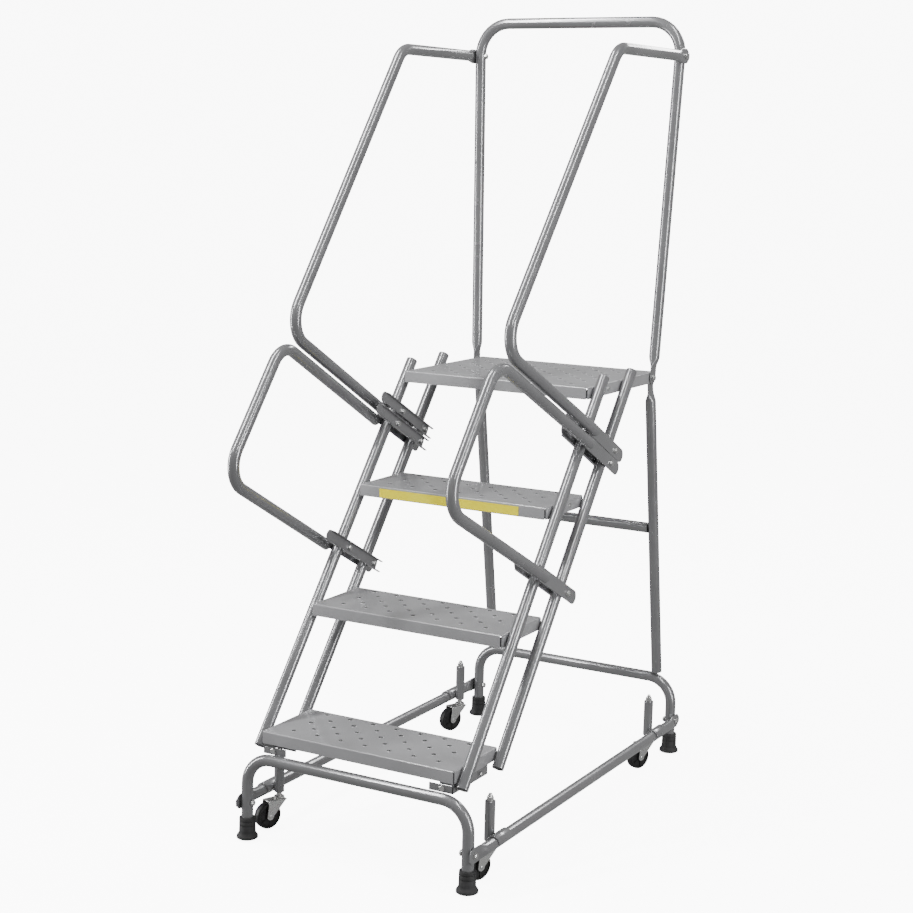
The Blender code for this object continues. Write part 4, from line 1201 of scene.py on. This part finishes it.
# %% [markdown]
# ## Caster forks
# The fork is stamped from one sheet: a flat crown, folded down into two cheeks that
# narrow to round eyes about the axle. One cheek is drawn as a face in profile, pushed
# to its thickness and rounded, then mirrored. The riveted axle is spun.

# %% Stamp the forks
WHEEL_HALF, TRAIL, CASTER_TURN = 0.0105, 0.032, math.radians(22)
CHEEK_IN, CHEEK_OUT = WHEEL_HALF + 0.002, WHEEL_HALF + 0.0045


def caster_fork():
    start(
        bpy.ops.mesh.primitive_circle_add, vertices=36, radius=0.009, fill_type="NGON",
        location=(CHEEK_IN, -TRAIL, WHEEL_R), rotation=(0, math.pi / 2, 0),
    )
    pick("VERT", lambda point: point.z > WHEEL_R + 0.0001)
    bpy.ops.mesh.delete(type="VERT")
    pick("VERT", lambda point: abs(point.z - WHEEL_R) < 0.0001)
    push((0, 0, CROWN_Z - WHEEL_R))
    pick("VERT", lambda point: point.z > CROWN_Z - 0.0001 and point.y > -TRAIL)
    bpy.ops.transform.translate(value=(0, 0.0125 + TRAIL - 0.009, 0))
    pick("VERT", lambda point: point.z > CROWN_Z - 0.0001 and point.y < -TRAIL)
    bpy.ops.transform.translate(value=(0, 0.005, 0))
    bpy.ops.mesh.select_all(action="SELECT")
    bpy.ops.mesh.edge_face_add()
    push((CHEEK_OUT - CHEEK_IN, 0, 0))
    cheek = settle("cheek", 30)
    modify(cheek, "BEVEL", width=0.0006, segments=2, limit_method="ANGLE", angle_limit=0.9)
    start(
        bpy.ops.mesh.primitive_cube_add, size=1,
        location=(0, (0.0125 - TRAIL - 0.004) / 2, CROWN_Z - 0.00125),
    )
    bpy.ops.transform.resize(value=(2 * CHEEK_OUT, 0.0125 + TRAIL + 0.004, 0.0025))
    pick("VERT", lambda point: point.y < -TRAIL)
    bpy.ops.transform.resize(value=(0.8, 1, 1))
    crown = settle("crown", 30)
    modify(crown, "BEVEL", width=0.001, segments=3, limit_method="ANGLE", angle_limit=0.9)
    spun_ring([
        (0.00001, CHEEK_OUT + 0.0015), (0.0032, CHEEK_OUT + 0.0015), (0.004, CHEEK_OUT + 0.0009),
        (0.004, CHEEK_OUT - 0.0002), (0.0036, 0), (0.0036, -CHEEK_OUT + 0.0002),
        (0.004, -CHEEK_OUT - 0.0009), (0.0032, -CHEEK_OUT - 0.0015), (0.00001, -CHEEK_OUT - 0.0015),
    ], 20)
    axle = placed(settle("axle", 40), Matrix.Rotation(math.pi / 2, 4, "Y"))
    placed(axle, Matrix.Translation((0, -TRAIL, WHEEL_R)))
    return merge("fork", [cheek, copy_of(cheek, "cheek_2", MIRROR), crown, axle])


fork = caster_fork()
print("fork", [round(size, 4) for size in fork.dimensions])

# %% [markdown]
# ## Wheels
# A black moulded wheel: a rounded tyre, a dished web and a hub. It is spun from its
# profile, and shallow ribs are raised between hub and tyre by pushing out every
# fourth face of the web.

# %% Mould the wheels
def caster_wheel():
    half = [
        (0.0043, 0.0105), (0.0088, 0.0105), (0.0096, 0.0098), (0.0102, 0.0078), (0.0242, 0.0078),
        (0.0250, 0.0090), (0.0262, 0.0105), (0.0295, 0.0101), (0.0311, 0.0084), (WHEEL_R, 0.0050),
    ]
    spun_ring(half + [(radius, -height) for radius, height in reversed(half)] + half[:1], 48)
    pick("FACE", lambda face: 0.012 < face.calc_center_median().xy.length < 0.022)
    chosen = bmesh.from_edit_mesh(bpy.context.object.data)
    for face in chosen.faces:
        turned = math.degrees(math.atan2(face.calc_center_median().y, face.calc_center_median().x))
        if face.select and turned % 60 > 8:
            face.select_set(False)
    bpy.ops.mesh.extrude_region_shrink_fatten(TRANSFORM_OT_shrink_fatten={"value": 0.0})
    bpy.ops.transform.resize(value=(1, 1, 0.0098 / 0.0078))
    made = settle("wheel", 35)
    placed(made, Matrix.Rotation(math.pi / 2, 4, "Y"))
    return placed(made, Matrix.Translation((0, -TRAIL, WHEEL_R)))


wheel = caster_wheel()
print("wheel", [round(size, 4) for size in wheel.dimensions])

# %% [markdown]
# ## Four casters
# Stem, fork and wheel are copied to each post, and each rides on its own body, so the
# stem slides, the fork swivels and the wheel rolls. The springs are hidden inside the
# posts. Each packed coil is copied as a piece that rides on its stem's body.

# %% Place the casters
for row, y in POST_YS.items():
    for name, side in SIDES.items():
        corner = f"{row}_{name}"
        spot = Matrix.Translation(at(side * POST_X, y, 0)) @ Matrix.Rotation(-CASTER_TURN, 4, "Z")
        for made, part, finish, slot in (
            (stem, "stem", zinc, "zinc"), (fork, "fork", zinc, "zinc"), (wheel, "wheel", tyre, "wheel"),
        ):
            keep(copy_of(made, f"{part}_of_caster_{corner}", spot), finish,
                 body=f"{part}_{corner}", nodes=[f"caster_{part}_{corner}"])
for spare in (stem, fork, wheel):
    bpy.data.objects.remove(spare)

for name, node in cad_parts.items():
    node.data.materials.clear()
    node.data.materials.append(zinc if "spring" in name else enamel)
for row in POST_YS:
    for name in SIDES:
        packed = f"caster_spring_{row}_{name}"
        coil = copy_of(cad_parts[packed], f"coil_{row}_{name}", Matrix.Identity(4))
        keep(coil, zinc, body=f"stem_{row}_{name}", nodes=[packed])
        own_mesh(coil)
print("pieces made:", len(made_pieces))

# %% [markdown]
# ## Small fixings
# A few bolts hold the treads to the stiles and the brackets to the tread. Only their
# ends show, and without them the plates would look glued on.

# %% Add the small fixings
for name, side in SIDES.items():
    place = MIRROR if side < 0 else Matrix.Identity(4)
    for label, spot in (
        ("bracket_end", at(PAN_X - 0.0015, 0.125, FIRST - 0.042)),
        ("bracket_side", at(PAN_X - 0.0015, 0.020, FIRST - 0.042)),
        ("deck_side", at(PAN_X + 0.0003, 3 * RUN + 0.118, PLATFORM_Z - 0.014)),
        ("tread_side", at(PAN_X + 0.0003, 2 * RUN + 0.125, FIRST + 2 * RISE - 0.014)),
    ):
        start(bpy.ops.mesh.primitive_cylinder_add, vertices=6, radius=0.0052, depth=0.003)
        pick("FACE", lambda face: face.calc_center_median().z > 0.0014)
        bpy.ops.mesh.inset(thickness=0.0008)
        bpy.ops.transform.translate(value=(0, 0, 0.0005))
        fixing = settle(f"{label}_{name}", 20)
        placed(fixing, Matrix.Rotation(math.pi / 2, 4, "Y"))
        placed(fixing, Matrix.Translation(spot))
        placed(fixing, place)
        if side < 0:
            fixing.data.flip_normals()
        keep(fixing, zinc)
    face_bolt = placed(hexagon(0.003, 0), Matrix.Rotation(math.pi / 2, 4, "X"))
    placed(face_bolt, Matrix.Translation(at(side * (PAN_X - 0.030), face_y - 0.0015, FIRST - 0.043)))
    face_bolt.name = f"bracket_face_bolt_{name}"
    keep(face_bolt, zinc)
print("pieces in all:", len(made_pieces))

# %% Print the packed and dressed boxes
made_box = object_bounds()
for label, corners in (("packed", cad_box), ("dressed", made_box)):
    print(label, [[round(value, 4) for value in corner] for corner in corners])
